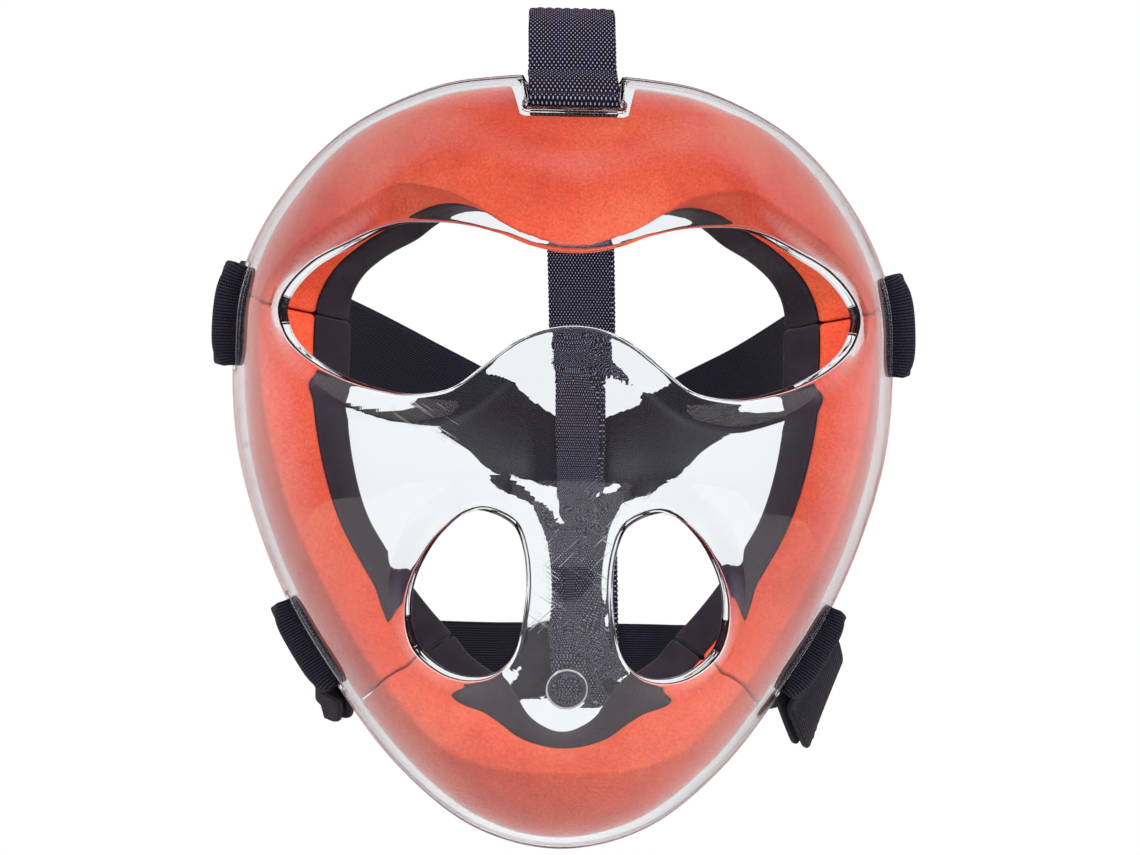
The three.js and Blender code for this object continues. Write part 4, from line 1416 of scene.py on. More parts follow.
        bm.verts.layers.int.remove(station)
        return piece_from(bm, "clear_shell", finish)


def point_tree(groups: list[Array]) -> tuple[KDTree, list[tuple[int, int]]]:
    """Build a search tree of points in the flat pattern.

    Args:
        groups: Lists of points (u, v).

    Returns:
        The tree, and for each of its points the group and the place in it.
    """
    owners = [(group, station) for group, points in enumerate(groups) for station in range(len(points))]
    tree = KDTree(len(owners))
    for index, (group, station) in enumerate(owners):
        tree.insert((*groups[group][station], 0.0), index)
    tree.balance()
    return tree, owners


# ---------------------------------------------------------------- the pads


@dataclass
class Pads:
    """Four pads round the rim, each a foam sheet next to the shell and a liner on the face side."""

    form: ShellForm
    shell: Shell
    foam_thickness: float = 13 * MM
    liner_thickness: float = 9 * MM
    glue: float = 0.3 * MM
    seam: float = 0.6 * MM
    margin: float = 4 * MM
    chin_margin: float = 0.8 * MM
    side_inset: float = 14 * MM
    top_inset: float = 24.5 * MM
    side_fade: float = 4 * MM
    top_fade: float = 1.2 * MM
    temple_seam: float = math.radians(26.5)
    jaw_seam: float = math.radians(-50)
    row_step: float = 1.3 * MM
    columns: int = 21
    fine_rows: int = 640
    section_steps: tuple[int, int, int] = (14, 5, 4)
    # From where, as a sine of the angle down, the margin narrows towards the chin
    chin_from: float = 0.5
    # The shares of the pattern that the inner edge is looked for between, and how finely
    searched: tuple[float, float] = (0.02, 0.999)
    search_points: int = 200
    corner: float = 1.1 * MM
    liner_crown: float = 0.8 * MM
    edge_bulge: float = 0.45 * MM
    edge_beyond: float = 0.02
    front_shares: Pairs = (
        (0, 0.537), (0.143, 0.569), (0.255, 0.624), (0.367, 0.67), (0.5, 0.688), (0.602, 0.633), (0.673, 0.592),
        (0.786, 0.509), (0.857, 0.413), (0.878, 0.312), (0.857, 0.156), (0.816, 0), (0.765, -0.138),
        (0.673, -0.303), (0.561, -0.477), (0.459, -0.596), (0.337, -0.703), (0.205, -0.745), (0.1, -0.753),
        (0, -0.753),
    )
    back_shares: Pairs = (
        (0, 0.56), (0.143, 0.592), (0.245, 0.633), (0.337, 0.628), (0.414, 0.583), (0.474, 0.538), (0.565, 0.489),
        (0.628, 0.436), (0.661, 0.365), (0.661, 0.248), (0.646, 0.147), (0.632, 0.055), (0.607, -0.046),
        (0.563, -0.156), (0.507, -0.229), (0.427, -0.335), (0.37, -0.407), (0.334, -0.457), (0.211, -0.547),
        (0.138, -0.628), (0.094, -0.656), (0.037, -0.676), (0, -0.679),
    )

    def __post_init__(self) -> None:
        """Find the pads' inner edges and spans."""
        size = np.array([self.form.half_width, self.form.half_height])
        centre = [0, self.form.mid_z]
        self.front_reach = self.form.polar_reach(mirrored(self.front_shares) * size + centre)
        self.back_reach = self.form.polar_reach(mirrored(self.back_shares) * size + centre)
        self.spans = {
            "forehead": (self.temple_seam, math.pi - self.temple_seam),
            "left_cheek": (self.jaw_seam, self.temple_seam),
            "right_cheek": (math.pi - self.temple_seam, math.pi - self.jaw_seam),
            "chin": (-math.pi - self.jaw_seam, self.jaw_seam),
        }

    def outer_margin(self, angle: Array) -> Array:
        """Return the distance from the rim to the pads' outer edge, which is larger behind the slots.

        Args:
            angle: Anticlockwise from +X.

        Returns:
            The distances.
        """
        shell = self.shell
        slots = [
            (turned, shell.slot_length / 2, shell.slot_near, self.side_inset, self.side_fade)
            for slot in shell.slot_angles
            for turned in (slot, math.pi - slot)
        ]
        notch = shell.top_bar_inset + shell.top_bar_width + shell.top_slot_width
        half = shell.top_slot_length / 2 + shell.top_bar_root
        slots.append((math.pi / 2, half, notch, self.top_inset, self.top_fade))
        margin = self.margin + (self.chin_margin - self.margin) * smoothstep(-np.sin(angle), self.chin_from, 1)
        extra = np.zeros(angle.shape)
        for turned, half, from_rim, inset, fade in slots:
            per_radian = MM / (self.form.angle_along(turned, MM, from_rim)[0] - turned)
            away = np.abs((angle - turned + math.pi) % (2 * math.pi) - math.pi) * per_radian
            extra = np.maximum(extra, (inset - margin) * (1 - smoothstep(away, half, half + fade)))
        return margin + extra

    def layer_face(self, angles: Array, depth: float) -> Array:
        """Return a grid of points under the dome, from the pads' inner edge to their outer one.

        Args:
            angles: The rows' angles, anticlockwise from +X.
            depth: The depth under the dome's face.

        Returns:
            A row of points for each angle.
        """
        form = self.form
        foam_depth = form.wall + self.glue
        sunk = (depth - foam_depth) / (self.foam_thickness + self.glue + self.liner_thickness)
        reach = self.front_reach(angles) * (1 - sunk) + self.back_reach(angles) * sunk
        shares = np.linspace(*self.searched, self.search_points)
        under = form.under_dome(shares[:, None], angles[None, :], depth)
        seen = np.hypot(under[..., 0], under[..., 2] - form.mid_z)
        inner = np.array([np.interp(reach[i], seen[:, i], shares) for i in range(len(angles))])
        outer = form.share_from_rim(angles, self.outer_margin(angles))
        across = inner[:, None] + (outer - inner)[:, None] * np.linspace(0, 1, self.columns)
        return form.under_dome(across, np.repeat(angles[:, None], self.columns, axis=1), depth)

    def layer(
        self,
        name: str,
        span: tuple[float, float],
        depth: float,
        thickness: float,
        crown: float,
        finish: Material,
    ) -> Object:
        """Build one layer of one pad.

        Args:
            name: The piece's name.
            span: The angles that it runs between.
            depth: How deep under the dome it starts.
            thickness: How thick it is.
            crown: How far its face side swells in the middle.
            finish: Its material.

        Returns:
            The layer.
        """
        half_seam = self.seam / 2 / self.form.half_width
        start, end = span[0] + half_seam, span[1] - half_seam
        fine = np.linspace(start, end, self.fine_rows)
        front = self.layer_face(fine, depth)
        back = self.layer_face(fine, depth + thickness)
        middle = (front + back)[:, self.columns // 2, None] / 2
        run = travelled(middle)[:, 0]
        rows = end_rows(run[-1], self.row_step, self.corner, True, True)
        angle_rows = np.interp(rows, run, np.arange(len(fine)))
        front, back = (sample_rows(grid, angle_rows) for grid in (front, back))
        share_x, share_y, push_x, push_y = rounded_section(*self.section_steps)
        width = np.linalg.norm(front[:, -1] - front[:, 0], axis=1)[:, None]
        pull = end_rounding(rows, self.corner, True, True)[:, None]
        across = share_x + self.corner * (push_x + pull * (1 - 2 * share_x)) / width
        up = share_y + self.corner * (push_y + pull * (1 - 2 * share_y)) / thickness
        rise = np.clip(up, 0, 1)
        swell = crown / thickness * (1 - (2 * np.clip(across, 0, 1) - 1) ** 4) * rise**2
        # A cut foam edge swells a little between the glued face and the free one
        bulge = self.edge_bulge / width * np.sin(math.pi * rise) * (2 * share_x - 1)
        across = across + np.where((share_x == 0) | (share_x == 1), bulge, 0)
        up = up + swell
        front, back = (sample_across(grid, across, self.edge_beyond) for grid in (front, back))
        points = front + (back - front) * up[..., None]
        places = np.stack([np.repeat(rows[:, None], len(share_x), axis=1), across * width + up * thickness], axis=-1)
        return piece_from(closed_skin(points, places), name, finish)

    def build(self, foam: Material, liner: Material) -> dict[str, Object]:
        """Build all pads.

        Args:
            foam: The foam's material.
            liner: The liner's material.

        Returns:
            The layers by the CAD nodes that they stand for.
        """
        foam_depth = self.form.wall + self.glue
        liner_depth = foam_depth + self.foam_thickness + self.glue
        sheets = (
            ("foam", foam_depth, self.foam_thickness, 0.0, foam),
            ("liner", liner_depth, self.liner_thickness, self.liner_crown, liner),
        )
        return {
            f"{name}_{sheet}": self.layer(f"{name}_{sheet}_pad", span, *shape)
            for name, span in self.spans.items()
            for sheet, *shape in sheets
        }


# ---------------------------------------------------------------- the harness


@dataclass
class Strap:
    """A flat strap: it folds round a bar of the shell and runs behind the head, and its end is a peel-open tab."""

    form: ShellForm
    name: str
    angle: float
    width: float
    thickness: float
    up: Array
    centres: Array
    tab_length: float
    bar_width: float
    bar_inset: float = 0.0
    bar_drop: float = 0.0
    slack: float = 3 * MM
    bulge: float = 1.8 * MM
    # A loose loop is pulled tight at the ends of its slot: how strongly, and how close to them
    puff: float = 1 * MM
    pinch: float = 3
    pinch_power: int = 5
    tooth: float = 0.0
    tooth_pitch: float = 1.76 * MM
    hold: float = 0.75
    clearance: float = 0.45 * MM
    overrun: float = 2.5 * MM
    columns: int = 17
    selvedge_steps: tuple[int, int] = (2, 3)
    bar_steps: int = 8
    turn_steps: int = 18
    curve_points: int = 600
    run_points: int = 500
    tab_points: int = 80
    laid_points: int = 6
    patch_points: int = 12
    gap: float = 0.3 * MM
    hook_thickness: float = 1 * MM
    tape_thickness: float = 0.4 * MM
    hook_length: float = 24 * MM
    hook_inset: float = 2 * MM
    # Where the tab comes down on the hooks after its loose loop
    settle: float = 12 * MM
    head_middle: Place = (0.0, 0.096, 0.0)
    selvedge_share: float = 0.45
    tooth_sharpness: int = 30
    stitch_pitch: float = 2.6 * MM
    stitch_share: float = 0.42
    thread_radius: float = 0.25 * MM

    def __post_init__(self) -> None:
        """Lay out the fold and the run."""
        self.shares = np.linspace(-0.5, 0.5, self.columns)
        self.puffed = 1 - self.pinch * np.abs(2 * self.shares) ** self.pinch_power
        self.fold = self.fold_rows()
        self.middle = self.columns // 2
        start, before = self.fold[-1], self.fold[-2]
        side = unit(start[-1] - start[0])
        path = np.concatenate([start[self.middle][None], self.centres])
        sides = []
        for index in range(1, len(path)):
            after = path[min(index + 1, len(path) - 1)]
            along = unit(after - path[index - 1])
            across = unit(self.up - along * np.dot(along, self.up))
            cut = across if index < len(path) - 1 else self.up / np.dot(across, self.up)
            cut = cut * np.sign(np.dot(cut, side))
            # At first the strap still lies along its slot, and then it turns upright
            sides.append(unit(cut + (side - cut) * self.hold) if index == 1 else cut)
        lead = start + (start - before) / 2
        rest = self.centres[:, None] + np.array(sides)[:, None] * (self.shares * self.width)[None, :, None]
        curve = catmull_rom(np.concatenate([start[None], lead[None], rest]), self.curve_points)
        self.run = at_lengths(curve, np.linspace(0, 1, self.run_points))
        self.run_length = float(self.lengths(self.run)[-1])

    def lengths(self, rows: Array) -> Array:
        """Return how far along the strap's middle each row lies from the first."""
        return travelled(rows)[:, self.middle]

    def fold_rows(self) -> Array:
        """Return rows of points round the bar, from the peel line outside to the rim inside.

        Returns:
            The rows.
        """
        form, half = self.form, self.bar_width / 2
        near = self.clearance + (form.wall + self.thickness) / 2
        far = near + self.slack
        reach = self.clearance + self.thickness / 2
        on_bar = np.linspace(-half, half, self.bar_steps + 1)[:-1]
        # Each row's place across the bar, its height and how far it swells with the loose loop
        profile = [(-(half + self.overrun), far, 0.0)]
        profile += [(inward, far, (at + 1) / self.bar_steps) for at, inward in enumerate(on_bar)]
        for turn in math.pi / 2 - math.pi * np.linspace(0, 1, self.turn_steps + 1):
            height = far if math.sin(turn) > 0 else near
            stand_off = self.bulge * max(0.0, math.sin(2 * turn))
            profile.append((half + reach * math.cos(turn) + stand_off, height * math.sin(turn), max(0, math.sin(turn))))
        profile += [(inward, -near, 0.0) for inward in on_bar[::-1]]
        drop = self.bar_drop + form.wall / 2
        rows = []
        for inward, height, loose in profile:
            above = height + loose * self.puff * self.puffed
            nearest = min(max(inward, -half), half)
            from_rim = self.bar_inset + half + nearest
            angles = form.angle_along(self.angle, self.width * self.shares, from_rim)
            point, outward, rimward = form.rim_frame(angles, from_rim)
            rows.append(point + rimward * (nearest - inward) + outward * (above - drop)[:, None])
        return np.array(rows)

    def run_rows(self, lengths: Array) -> Array:
        """Return rows of the run's middle surface at lengths from the fold."""
        place = np.clip(lengths / self.run_length, 0, 1) * (len(self.run) - 1)
        return sample_rows(self.run, place)

    def over(self, lengths: Array, height: float, inset: float) -> Array:
        """Return rows over the run's outer face, at a height over its middle and in from its edges.

        Args:
            lengths: The rows' lengths from the fold.
            height: The height over the middle surface.
            inset: How far in from each edge the rows end.

        Returns:
            The rows.
        """
        margin = inset / self.width
        rows = sample_across(self.run_rows(lengths), margin + (1 - 2 * margin) * (self.shares + 0.5))
        return rows + self.outward(rows) * height

    def outward(self, rows: Array) -> Array:
        """Return the normals of rows of points, pointing away from the head.

        Args:
            rows: Rows of points across the strap.

        Returns:
            A normal for each point.
        """
        normals = grid_normals(rows)
        facing = np.sum(normals * (rows - np.array(self.head_middle)), axis=-1, keepdims=True)
        return normals * np.sign(facing)

    def band(
        self,
        rows: Array,
        step: float,
        tip: bool,
        inset: float = 0.0,
        thickness: float | None = None,
        marked_from: float = 0.0,
    ) -> tuple[Array, Array]:
        """Give rows of a middle surface a thickness, with rounded selvedges.

        Args:
            rows: Rows of points across the strap.
            step: The distance between the rows of the band.
            tip: Whether its last end is a cut and rounded one.
            inset: How much narrower than the strap it is on each side.
            thickness: Its thickness, where that isn't the strap's.
            marked_from: The surface coordinate of its first row.

        Returns:
            Rows of points round the band, and their surface coordinates.
        """
        thickness = thickness or self.thickness
        width = self.width - 2 * inset
        centre = self.lengths(rows)
        radius = thickness * self.selvedge_share
        lengths = end_rows(centre[-1], step, radius, False, tip)
        numbers = np.interp(lengths, centre, np.arange(len(rows)))
        surface = sample_rows(rows, numbers)
        normals = unit(sample_rows(self.outward(rows), numbers))
        share_x, share_y, push_x, push_y = rounded_section(self.columns - 1, *self.selvedge_steps)
        pull = end_rounding(lengths, radius, False, tip)[:, None]
        teeth = self.tooth * (0.5 + 0.5 * np.sin(2 * math.pi * lengths / self.tooth_pitch))[:, None]
        edge = np.abs(2 * share_x - 1) ** self.tooth_sharpness
        across = share_x + (radius * push_x - teeth * edge * np.sign(2 * share_x - 1)) / width
        height = thickness * (share_y - 0.5) + radius * (push_y + pull * np.sign(0.5 - share_y))
        points = sample_across(surface, across) + sample_across(normals, across) * height[..., None]
        along = np.repeat(lengths[:, None] + marked_from, across.shape[1], axis=1)
        return points, np.stack([along, across * width], axis=-1)

    def strap_rows(self) -> Array:
        """Return the middle surface of the whole strap, from the peel line to the back of the head."""
        return np.concatenate([self.fold, self.run[1:]])

    def tab_rows(self) -> Array:
        """Return the middle surface of the tab, from the peel line to its tip.

        Returns:
            Rows of points.
        """
        peel, following = self.fold[0], self.fold[1]
        onward = unit(peel - following)
        height = self.thickness + 2 * self.gap + self.hook_thickness
        laid = self.over(np.linspace(self.settle, self.tab_length, self.laid_points), height, 0.0)
        swell = self.gap + self.thickness + self.puff * self.puffed[:, None]
        lead = np.stack([peel, peel + onward * swell])
        curve = catmull_rom(np.concatenate([lead, laid]), self.curve_points // 2)
        return at_lengths(curve, np.linspace(0, 1, self.tab_points))

    def patch_rows(self) -> Array:
        """Return the middle surface of the hook patch's backing tape under the tab.

        Returns:
            Rows of points.
        """
        tip = self.tab_length - self.hook_inset
        height = (self.thickness + self.tape_thickness) / 2 + self.gap
        return self.over(np.linspace(tip - self.hook_length, tip, self.patch_points), height, self.hook_inset)

    def stitches(self, rows: Array, corners: list[tuple[float, float]], height: float) -> BMesh:
        """Sew a line of stitches on a strap.

        Args:
            rows: The rows of the strap's middle surface.
            corners: The line's corners: a length along the rows and a share across them.
            height: How high over the middle surface the thread lies.

        Returns:
            A mesh of stitches, each a slender grain that dips into the cloth at both ends.
        """
        run = self.lengths(rows)
        lifted = rows + self.outward(rows) * height
        bm = bmesh.new()
        for (from_along, from_across), (to_along, to_across) in zip(corners, corners[1:]):
            reach = math.hypot(to_along - from_along, (to_across - from_across) * self.width)
            count = max(1, round(reach / self.stitch_pitch))
            part = np.linspace(0, 1, 2 * count + 1)
            along = np.interp(from_along + (to_along - from_along) * part, run, np.arange(len(rows)))
            across = from_across + (to_across - from_across) * part
            line = sample_across(sample_rows(lifted, along), across[:, None])[:, 0]
            for stitch in range(count):
                start, middle, end = (Vector(line[2 * stitch + more]) for more in range(3))
                turn = (end - start).to_track_quat("X", "Z").to_matrix().to_4x4()
                half = self.stitch_share * (end - start).length
                size = Matrix.Diagonal((half, self.thread_radius, self.thread_radius, 1.0))
                bmesh.ops.create_uvsphere(
                    bm, u_segments=6, v_segments=5, radius=1, matrix=Matrix.Translation(middle) @ turn @ size
                )
        return bm


@dataclass
class Harness:
    """Four elastic straps and one of webbing, sewn together at the back of the head."""

    form: ShellForm
    shell: Shell
    reach: float = 192 * MM
    crown_rise: float = 95 * MM
    lean: float = 16 * MM
    webbing_width: float = 25 * MM
    webbing_thickness: float = 1.8 * MM
    band_width: float = 30 * MM
    band_thickness: float = 2 * MM
    crown_tab: float = 52 * MM
    temple_tab: float = 42 * MM
    jaw_tab: float = 46 * MM
    crown_slack: float = 0.4 * MM
    crown_tooth: float = 0.35 * MM
    temple_shares: Triples = (
        (0.99, 0.24, 0.03), (0.93, 0.44, 0.02), (0.78, 0.68, -0.045), (0.58, 0.87, -0.15), (0.36, 0.965, -0.26),
    )
    jaw_shares: Triples = (
        (0.79, 0.4, -0.98), (0.68, 0.7, -1.05), (0.53, 0.87, -1.08), (0.34, 0.965, -1.095),
    )
    # Where the jaw straps come from behind the rim: the left one hangs further out and lower
    left_jaw_start: Place = (0.79, 0.078, -1.035)
    right_jaw_start: Place = (0.69, 0.0625, -0.975)
    crown_shares: Triples = (
        (0, -0.12, 0.86), (0.05, 0.06, 0.945), (0.1, 0.26, 1), (0.3, 0.64, 0.88), (0.6, 0.9, 0.5),
        (0.73, 0.985, 0.13),
    )
    crown_back_shares: Pairs = ((0.77, 0.09), (0.8, 0.22), (0.84, 0.4), (0.93, 0.735), (1, 1))
    crown_tail: float = 2.5 * MM
    temple_join: tuple[float, float] = (-0.45, 0.1)
    jaw_join: tuple[float, float] = (-1.1, 0.0)
    sewn_gap: float = 0.5 * MM
    gap: float = 0.3 * MM
    smooth_step: float = 1.5 * MM
    tab_mark: float = 20 * MM
    hook_pitch: float = 1.55 * MM
    hook_share: float = 0.35
    # Hooks stand on cells of the tape's outer face that aren't cut short at its edges
    whole_cell: float = 0.6
    facing: float = 0.8
    # A hook's stem, neck and crown in shares of its height, its root's taper and how much wider its head is
    hook_heights: tuple[float, float, float] = (0.6, 0.15, 0.2)
    hook_taper: float = 0.02 * MM
    hook_spread: float = 1.5
    crown_taper: float = 0.2
    seam_inset: float = 2.5 * MM
    hem_inset: float = 3.5 * MM
    hem_margin: float = 0.08

    def crown_path(self) -> Array:
        """Return the places that the middle of the crown strap goes through, over the head and down the back.

        Returns:
            The places.
        """
        drop = -self.jaw_join[0] * self.form.half_height + self.band_width / 2 + self.crown_tail
        over = np.array(self.crown_shares) * [self.lean, self.reach, self.crown_rise]
        down = np.array([(lean, 1, -fall) for lean, fall in self.crown_back_shares]) * [self.lean, self.reach, drop]
        return np.concatenate([over, down])

    def crown_strap(self) -> Strap:
        """Lay out the webbing strap over the top of the head.

        Returns:
            The strap.
        """
        shell = self.shell
        return Strap(
            self.form, "crown", math.pi / 2, self.webbing_width, self.webbing_thickness, LEFT, self.crown_path(),
            self.crown_tab, bar_inset=shell.top_bar_inset, bar_width=shell.top_bar_width, bar_drop=shell.top_bar_drop,
            slack=self.crown_slack, bulge=0.0, puff=0.0, tooth=self.crown_tooth,
        )

    def crown_x(self, z: float) -> float:
        """Return where the crown strap's middle is at a height, on its straight part down the back."""
        path = self.crown_path()
        return float(np.interp(-z, -path[:, 2], path[:, 0]))

    def side_strap(self, side: int, temple: bool) -> Strap:
        """Lay out an elastic strap from the shell to the crown strap.

        Args:
            side: 1 for the wearer's left and -1 for the right.
            temple: Whether it is a temple strap or a jaw strap.

        Returns:
            The strap.
        """
        form = self.form
        jaw_start = self.left_jaw_start if side > 0 else self.right_jaw_start
        shares = np.array(self.temple_shares if temple else (jaw_start, *self.jaw_shares))
        join, climb = self.temple_join if temple else self.jaw_join
        slot = self.shell.slot_angles[0 if temple else 1]
        join_z = join * form.half_height
        join_x = self.crown_x(join_z)
        join_y = self.reach + (self.webbing_thickness + self.band_thickness) / 2 + self.gap
        shift = join_x * smoothstep(shares[:, 1], 0, 1) ** 2
        path = [
            (side * a * form.half_width + moved, b * self.reach, c * form.half_height)
            for (a, b, c), moved in zip(shares, shift)
        ]
        for reach in (self.webbing_width, self.sewn_gap / 2):
            rise = climb * form.half_height * reach / self.webbing_width
            path.append((join_x + side * reach, join_y, join_z + rise))
        name = f"{'left' if side > 0 else 'right'}_{'temple' if temple else 'jaw'}"
        angle = slot if side > 0 else math.pi - slot
        tab = self.temple_tab if temple else self.jaw_tab
        near = self.shell.slot_near
        return Strap(form, name, angle, self.band_width, self.band_thickness, UP, np.array(path), tab, bar_width=near)

    def straps(self) -> list[Strap]:
        """Lay out all five straps."""
        sides = [self.side_strap(side, temple) for side in (1, -1) for temple in (True, False)]
        return [self.crown_strap(), *sides]

    def build_band(self, strap: Strap, tab: bool, finish: Material) -> Object:
        """Build a strap's band or the peel-open tab at its end, with closer rows where the selvedge has teeth.

        Args:
            strap: The strap.
            tab: Whether it is the tab.
            finish: Its material.

        Returns:
            The band.
        """
        rows, mark = (strap.tab_rows(), self.tab_mark) if tab else (strap.strap_rows(), 0.0)
        step = strap.tooth_pitch / 4 if strap.tooth else self.smooth_step
        skin = closed_skin(*strap.band(rows, step, tip=True, marked_from=mark))
        return piece_from(skin, f"{strap.name}_{'pull_tab' if tab else 'band'}", finish)

    def build_patch(self, strap: Strap, finish: Material) -> Object:
        """Build the hook patch under a tab: a backing tape with rows of small mushroom-headed hooks.

        Args:
            strap: The strap that it is on.
            finish: Its material.

        Returns:
            The patch.
        """
        rows = strap.patch_rows()
        bm = closed_skin(*strap.band(rows, self.hook_pitch, False, strap.hook_inset, strap.tape_thickness))
        bm.normal_update()
        outward = unit(strap.outward(rows)[len(rows) // 2, strap.middle])
        least = self.whole_cell * self.hook_pitch**2
        heads = [f for f in bm.faces if f.normal.dot(Vector(outward)) > self.facing and f.calc_area() > least]
        stem, neck, crown = np.array(self.hook_heights) * (strap.hook_thickness - strap.tape_thickness)
        foot = self.hook_pitch * (1 - self.hook_share) / 2
        bmesh.ops.inset_individual(bm, faces=heads, thickness=foot, depth=0)
        bmesh.ops.inset_individual(bm, faces=heads, thickness=self.hook_taper, depth=stem)
        raised = bmesh.ops.extrude_discrete_faces(bm, faces=heads)["faces"]
        for face in raised:
            middle = face.calc_center_median()
            lift = Matrix.Translation(middle + face.normal * neck)
            spread = lift @ Matrix.Scale(self.hook_spread, 4) @ Matrix.Translation(-middle)
            bmesh.ops.transform(bm, matrix=spread, verts=face.verts)
        taper = self.crown_taper * self.hook_share * self.hook_pitch
        bmesh.ops.inset_individual(bm, faces=raised, thickness=taper, depth=crown)
        return piece_from(bm, f"{strap.name}_hooks", finish)

    def build_seams(self, strap: Strap, thread: Material) -> dict[str, Object]:
        """Sew the boxes at the back of the head and the hem at the tab's tip.

        Args:
            strap: The strap.
            thread: The thread's material.

        Returns:
            The pieces of stitching by "strap" and "tab".
        """
        seams = {}
        height = strap.thickness / 2
        if strap.name != "crown":
            end = strap.run_length - self.seam_inset
            start = strap.run_length - self.webbing_width / 2 + self.seam_inset
            near = self.seam_inset / strap.width
            far = 1 - near
            box = [(start, near), (end, near), (end, far), (start, far), (start, near), (end, far)]
            seams["strap"] = piece_from(strap.stitches(strap.run, box, height), f"{strap.name}_box_stitching", thread)
        rows = strap.tab_rows()
        hem = float(strap.lengths(rows)[-1]) - self.hem_inset
        lines = strap.stitches(rows, [(hem, self.hem_margin), (hem, 1 - self.hem_margin)], height)
        seams["tab"] = piece_from(lines, f"{strap.name}_hem_stitching", thread)
        return seams


# ---------------------------------------------------------------- stage, lamps and camera


@dataclass
class Studio:
    """A pale floor, soft lamps, a white surround and the camera at the photograph's angle."""

    floor_drop: float = 0.45
    floor_half: float = 1.3
    lens: float = 80.81
    camera_place: Place = (-0.0212, -0.76, -0.032)
    camera_target: Place = (0.0022, 0.0, -0.032)
    roll: float = math.radians(1.0)
    surround: float = 0.7
    lamp_target: Place = (0, -0.04, -0.04)
    # Each lamp's name, place, width and height, and power in watts
    lamps: tuple[tuple[str, Place, tuple[float, float], float], ...] = (
        ("key_softbox", (-0.7, -1.1, 0.9), (0.9, 0.9), 19),
        ("fill_softbox", (0.9, -1.0, 0.5), (0.8, 0.8), 15),
        ("back_softbox", (0.0, 1.1, 0.8), (1.2, 0.6), 5),
    )

    def build_world(self) -> None:
        """Light the object evenly, show white where the surround is seen, and let gloss find two softboxes in it."""
        world = bpy.data.worlds.new("studio_surround")
        world.use_nodes = True
        bpy.context.scene.world = world
        tree = world.node_tree
        tree.nodes.clear()
        way = add_node(tree, "SeparateXYZ", {0: add_node(tree, "TexCoord").outputs["Generated"]})
        aside = add_node(tree, "Math", {0: way.outputs["X"]}, operation="ABSOLUTE")
        ahead = add_node(tree, "Math", {0: way.outputs["Y"], 1: -1.0}, operation="MULTIPLY")
        angle = add_node(tree, "Math", {0: aside.outputs[0], 1: ahead.outputs[0]}, operation="ARCTAN2")
        turned = add_node(tree, "Math", {0: angle.outputs[0], 1: math.pi}, operation="DIVIDE")
        # From straight in front, past a softbox on each side, to the dim room and the white backdrop behind
        level_round = add_node(tree, "ValToRGB", {"Fac": turned.outputs[0]}, stops=[
            (0.0, "#3C3E40"), (0.05, "#3C3E40"), (0.1, "#606466"), (0.24, "#606466"), (0.29, "#FFFFFF"),
            (0.36, "#FFFFFF"), (0.43, "#80808A"), (0.55, "#84707A"), (0.72, "#C08C88"), (0.93, "#CC9C98"),
        ])
        off_level = add_node(tree, "Math", {0: way.outputs["Z"]}, operation="ABSOLUTE")
        height = add_node(tree, "MapRange", {"Value": off_level.outputs[0], "From Min": 0.05, "From Max": 0.35})
        dim_above = add_node(tree, "Mix", {
            0: height.outputs["Result"], 6: level_round.outputs["Color"], 7: linear("#8A5A54"),
        }, data_type="RGBA")
        backdrop = add_node(tree, "MapRange", {"Value": way.outputs["Y"], "From Min": 0.975, "From Max": 0.995})
        mirrored_room = add_node(tree, "Mix", {
            0: backdrop.outputs["Result"], 6: dim_above.outputs[2], 7: linear("#F0F1FC"),
        }, data_type="RGBA")
        onward = add_node(tree, "MapRange", {"Value": way.outputs["Y"], "From Min": -1.0})
        # What shows through the clear shell: the room in front and at the sides, and then the white backdrop
        seen_through = add_node(tree, "ValToRGB", {"Fac": onward.outputs["Result"]}, stops=[
            (0.0, "#8A8C90"), (0.42, "#8A8C90"), (0.5, "#3C3850"), (0.6, "#6E6A94"), (0.7, "#D8D8F0"),
            (0.8, "#FFFFFF"),
        ])
        path = add_node(tree, "LightPath")
        level: Any = (self.surround, self.surround, self.surround, 1.0)
        for kind, seen in (
            ("Is Glossy Ray", mirrored_room.outputs[2]),
            ("Is Transmission Ray", seen_through.outputs["Color"]),
            ("Is Camera Ray", linear("#FFFFFF")),
        ):
            level = add_node(tree, "Mix", {0: path.outputs[kind], 6: level, 7: seen}, data_type="RGBA").outputs[2]
        white = add_node(tree, "Background", {"Color": level, "Strength": 1.0})
        add_node(tree, "OutputWorld", {"Surface": white.outputs[0]})

    def build_floor(self) -> None:
        """Build the pale floor below the mask."""
        material, tree = new_material("matt_white_board")
        board = add_node(tree, "BsdfPrincipled", {"Base Color": linear("#F6F6F6"), "Roughness": 0.9})
        add_node(tree, "OutputMaterial", {"Surface": board.outputs[0]})
        bm = bmesh.new()
        bmesh.ops.create_circle(
            bm, cap_ends=True, radius=self.floor_half, segments=96,
            matrix=Matrix.Translation((0, 0, -self.floor_drop)),
        )
        floor = piece_from(bm, "studio_floor", material)
        floor.visible_glossy = False

    def build_lamp(self, name: str, place: Place, size: tuple[float, float], watts: float) -> None:
        """Add a soft lamp that points at the mask.

        Args:
            name: The lamp's name.
            place: Where it stands.
            size: Its width and height.
            watts: Its power.
        """
        data = bpy.data.lights.new(name, "AREA")
        data.shape = "RECTANGLE"
        data.size, data.size_y = size
        data.energy = watts
        lamp = bpy.data.objects.new(name, data)
        bpy.context.scene.collection.objects.link(lamp)
        lamp.visible_glossy = False
        lamp.visible_transmission = False
        lamp.location = place
        aim = Vector(self.lamp_target) - Vector(place)
        lamp.rotation_euler = aim.to_track_quat("-Z", "Y").to_euler()

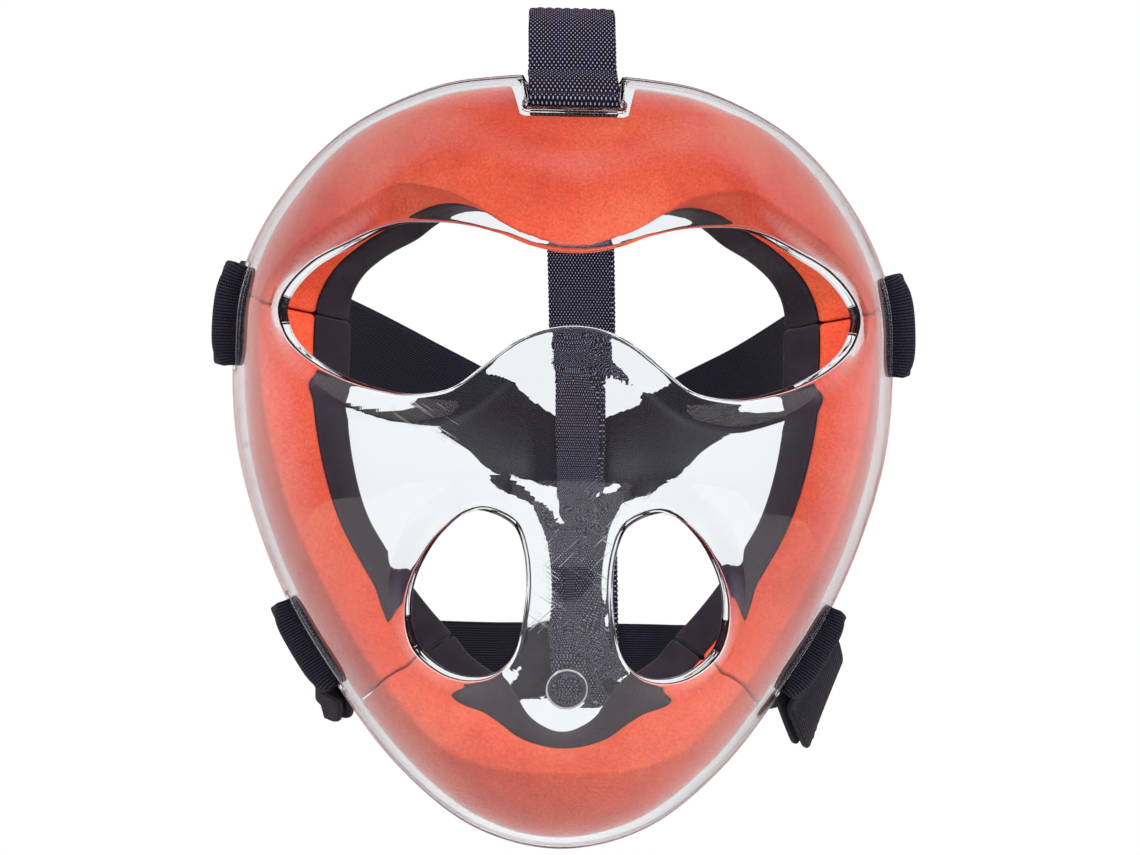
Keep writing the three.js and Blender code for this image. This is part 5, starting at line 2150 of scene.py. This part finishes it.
    def build_camera(self) -> None:
        """Add the camera at the photograph's angle."""
        data = bpy.data.cameras.new("photo_camera")
        data.lens = self.lens
        camera = bpy.data.objects.new("photo_camera", data)
        bpy.context.scene.collection.objects.link(camera)
        camera.location = self.camera_place
        aim = Vector(self.camera_target) - Vector(self.camera_place)
        turn = aim.to_track_quat("-Z", "Y").to_matrix() @ Matrix.Rotation(self.roll, 3, "Z")
        camera.rotation_euler = turn.to_euler()
        bpy.context.scene.camera = camera

    def build(self) -> None:
        """Set up the whole studio."""
        self.build_world()
        self.build_floor()
        for lamp in self.lamps:
            self.build_lamp(*lamp)
        self.build_camera()
        bpy.context.scene.view_settings.view_transform = "Standard"


# ---------------------------------------------------------------- the mask


def dress(piece: Object, node: str, body: str) -> None:
    """Let a piece stand for a CAD node.

    Args:
        piece: The finished piece.
        node: The CAD node that it replaces.
        body: The CAD body that it moves with.
    """
    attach(piece, body)
    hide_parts(node)
    log.info("%s stands for %s: %d faces", piece.name, node, len(piece.data.polygons))


def main() -> None:
    """Build the mask and the studio."""
    logging.basicConfig(level=logging.INFO, format="%(message)s")
    Studio().build()
    form = ShellForm()
    shell = Shell(form)
    finishes = {
        Finish.SHELL: ClearPolycarbonate(shell.gate_drop, shell.gate_radius).material(),
        Finish.FOAM: OrangeFoam().material(),
        Finish.LINER: BrushedLiner().material(),
        Finish.ELASTIC: RibbedElastic().material(),
        Finish.WEBBING: WovenWebbing().material(),
        Finish.HOOK: NylonHooks().material(),
    }
    thread = SewingThread().material()
    dress(shell.build(finishes[Finish.SHELL]), "shell", "mask")
    for node, layer in Pads(form, shell).build(finishes[Finish.FOAM], finishes[Finish.LINER]).items():
        dress(layer, node, "mask")
    harness = Harness(form, shell)
    for strap in harness.straps():
        cloth = Finish.WEBBING if strap.name == "crown" else Finish.ELASTIC
        end = f"{strap.name}_end"
        dress(harness.build_band(strap, False, finishes[cloth]), f"{strap.name}_strap", "mask")
        dress(harness.build_band(strap, True, finishes[cloth]), f"{strap.name}_tab", end)
        dress(harness.build_patch(strap, finishes[Finish.HOOK]), f"{strap.name}_hook_patch", end)
        for place, seam in harness.build_seams(strap, thread).items():
            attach(seam, end if place == "tab" else "mask")


if __name__ == "__main__":
    main()
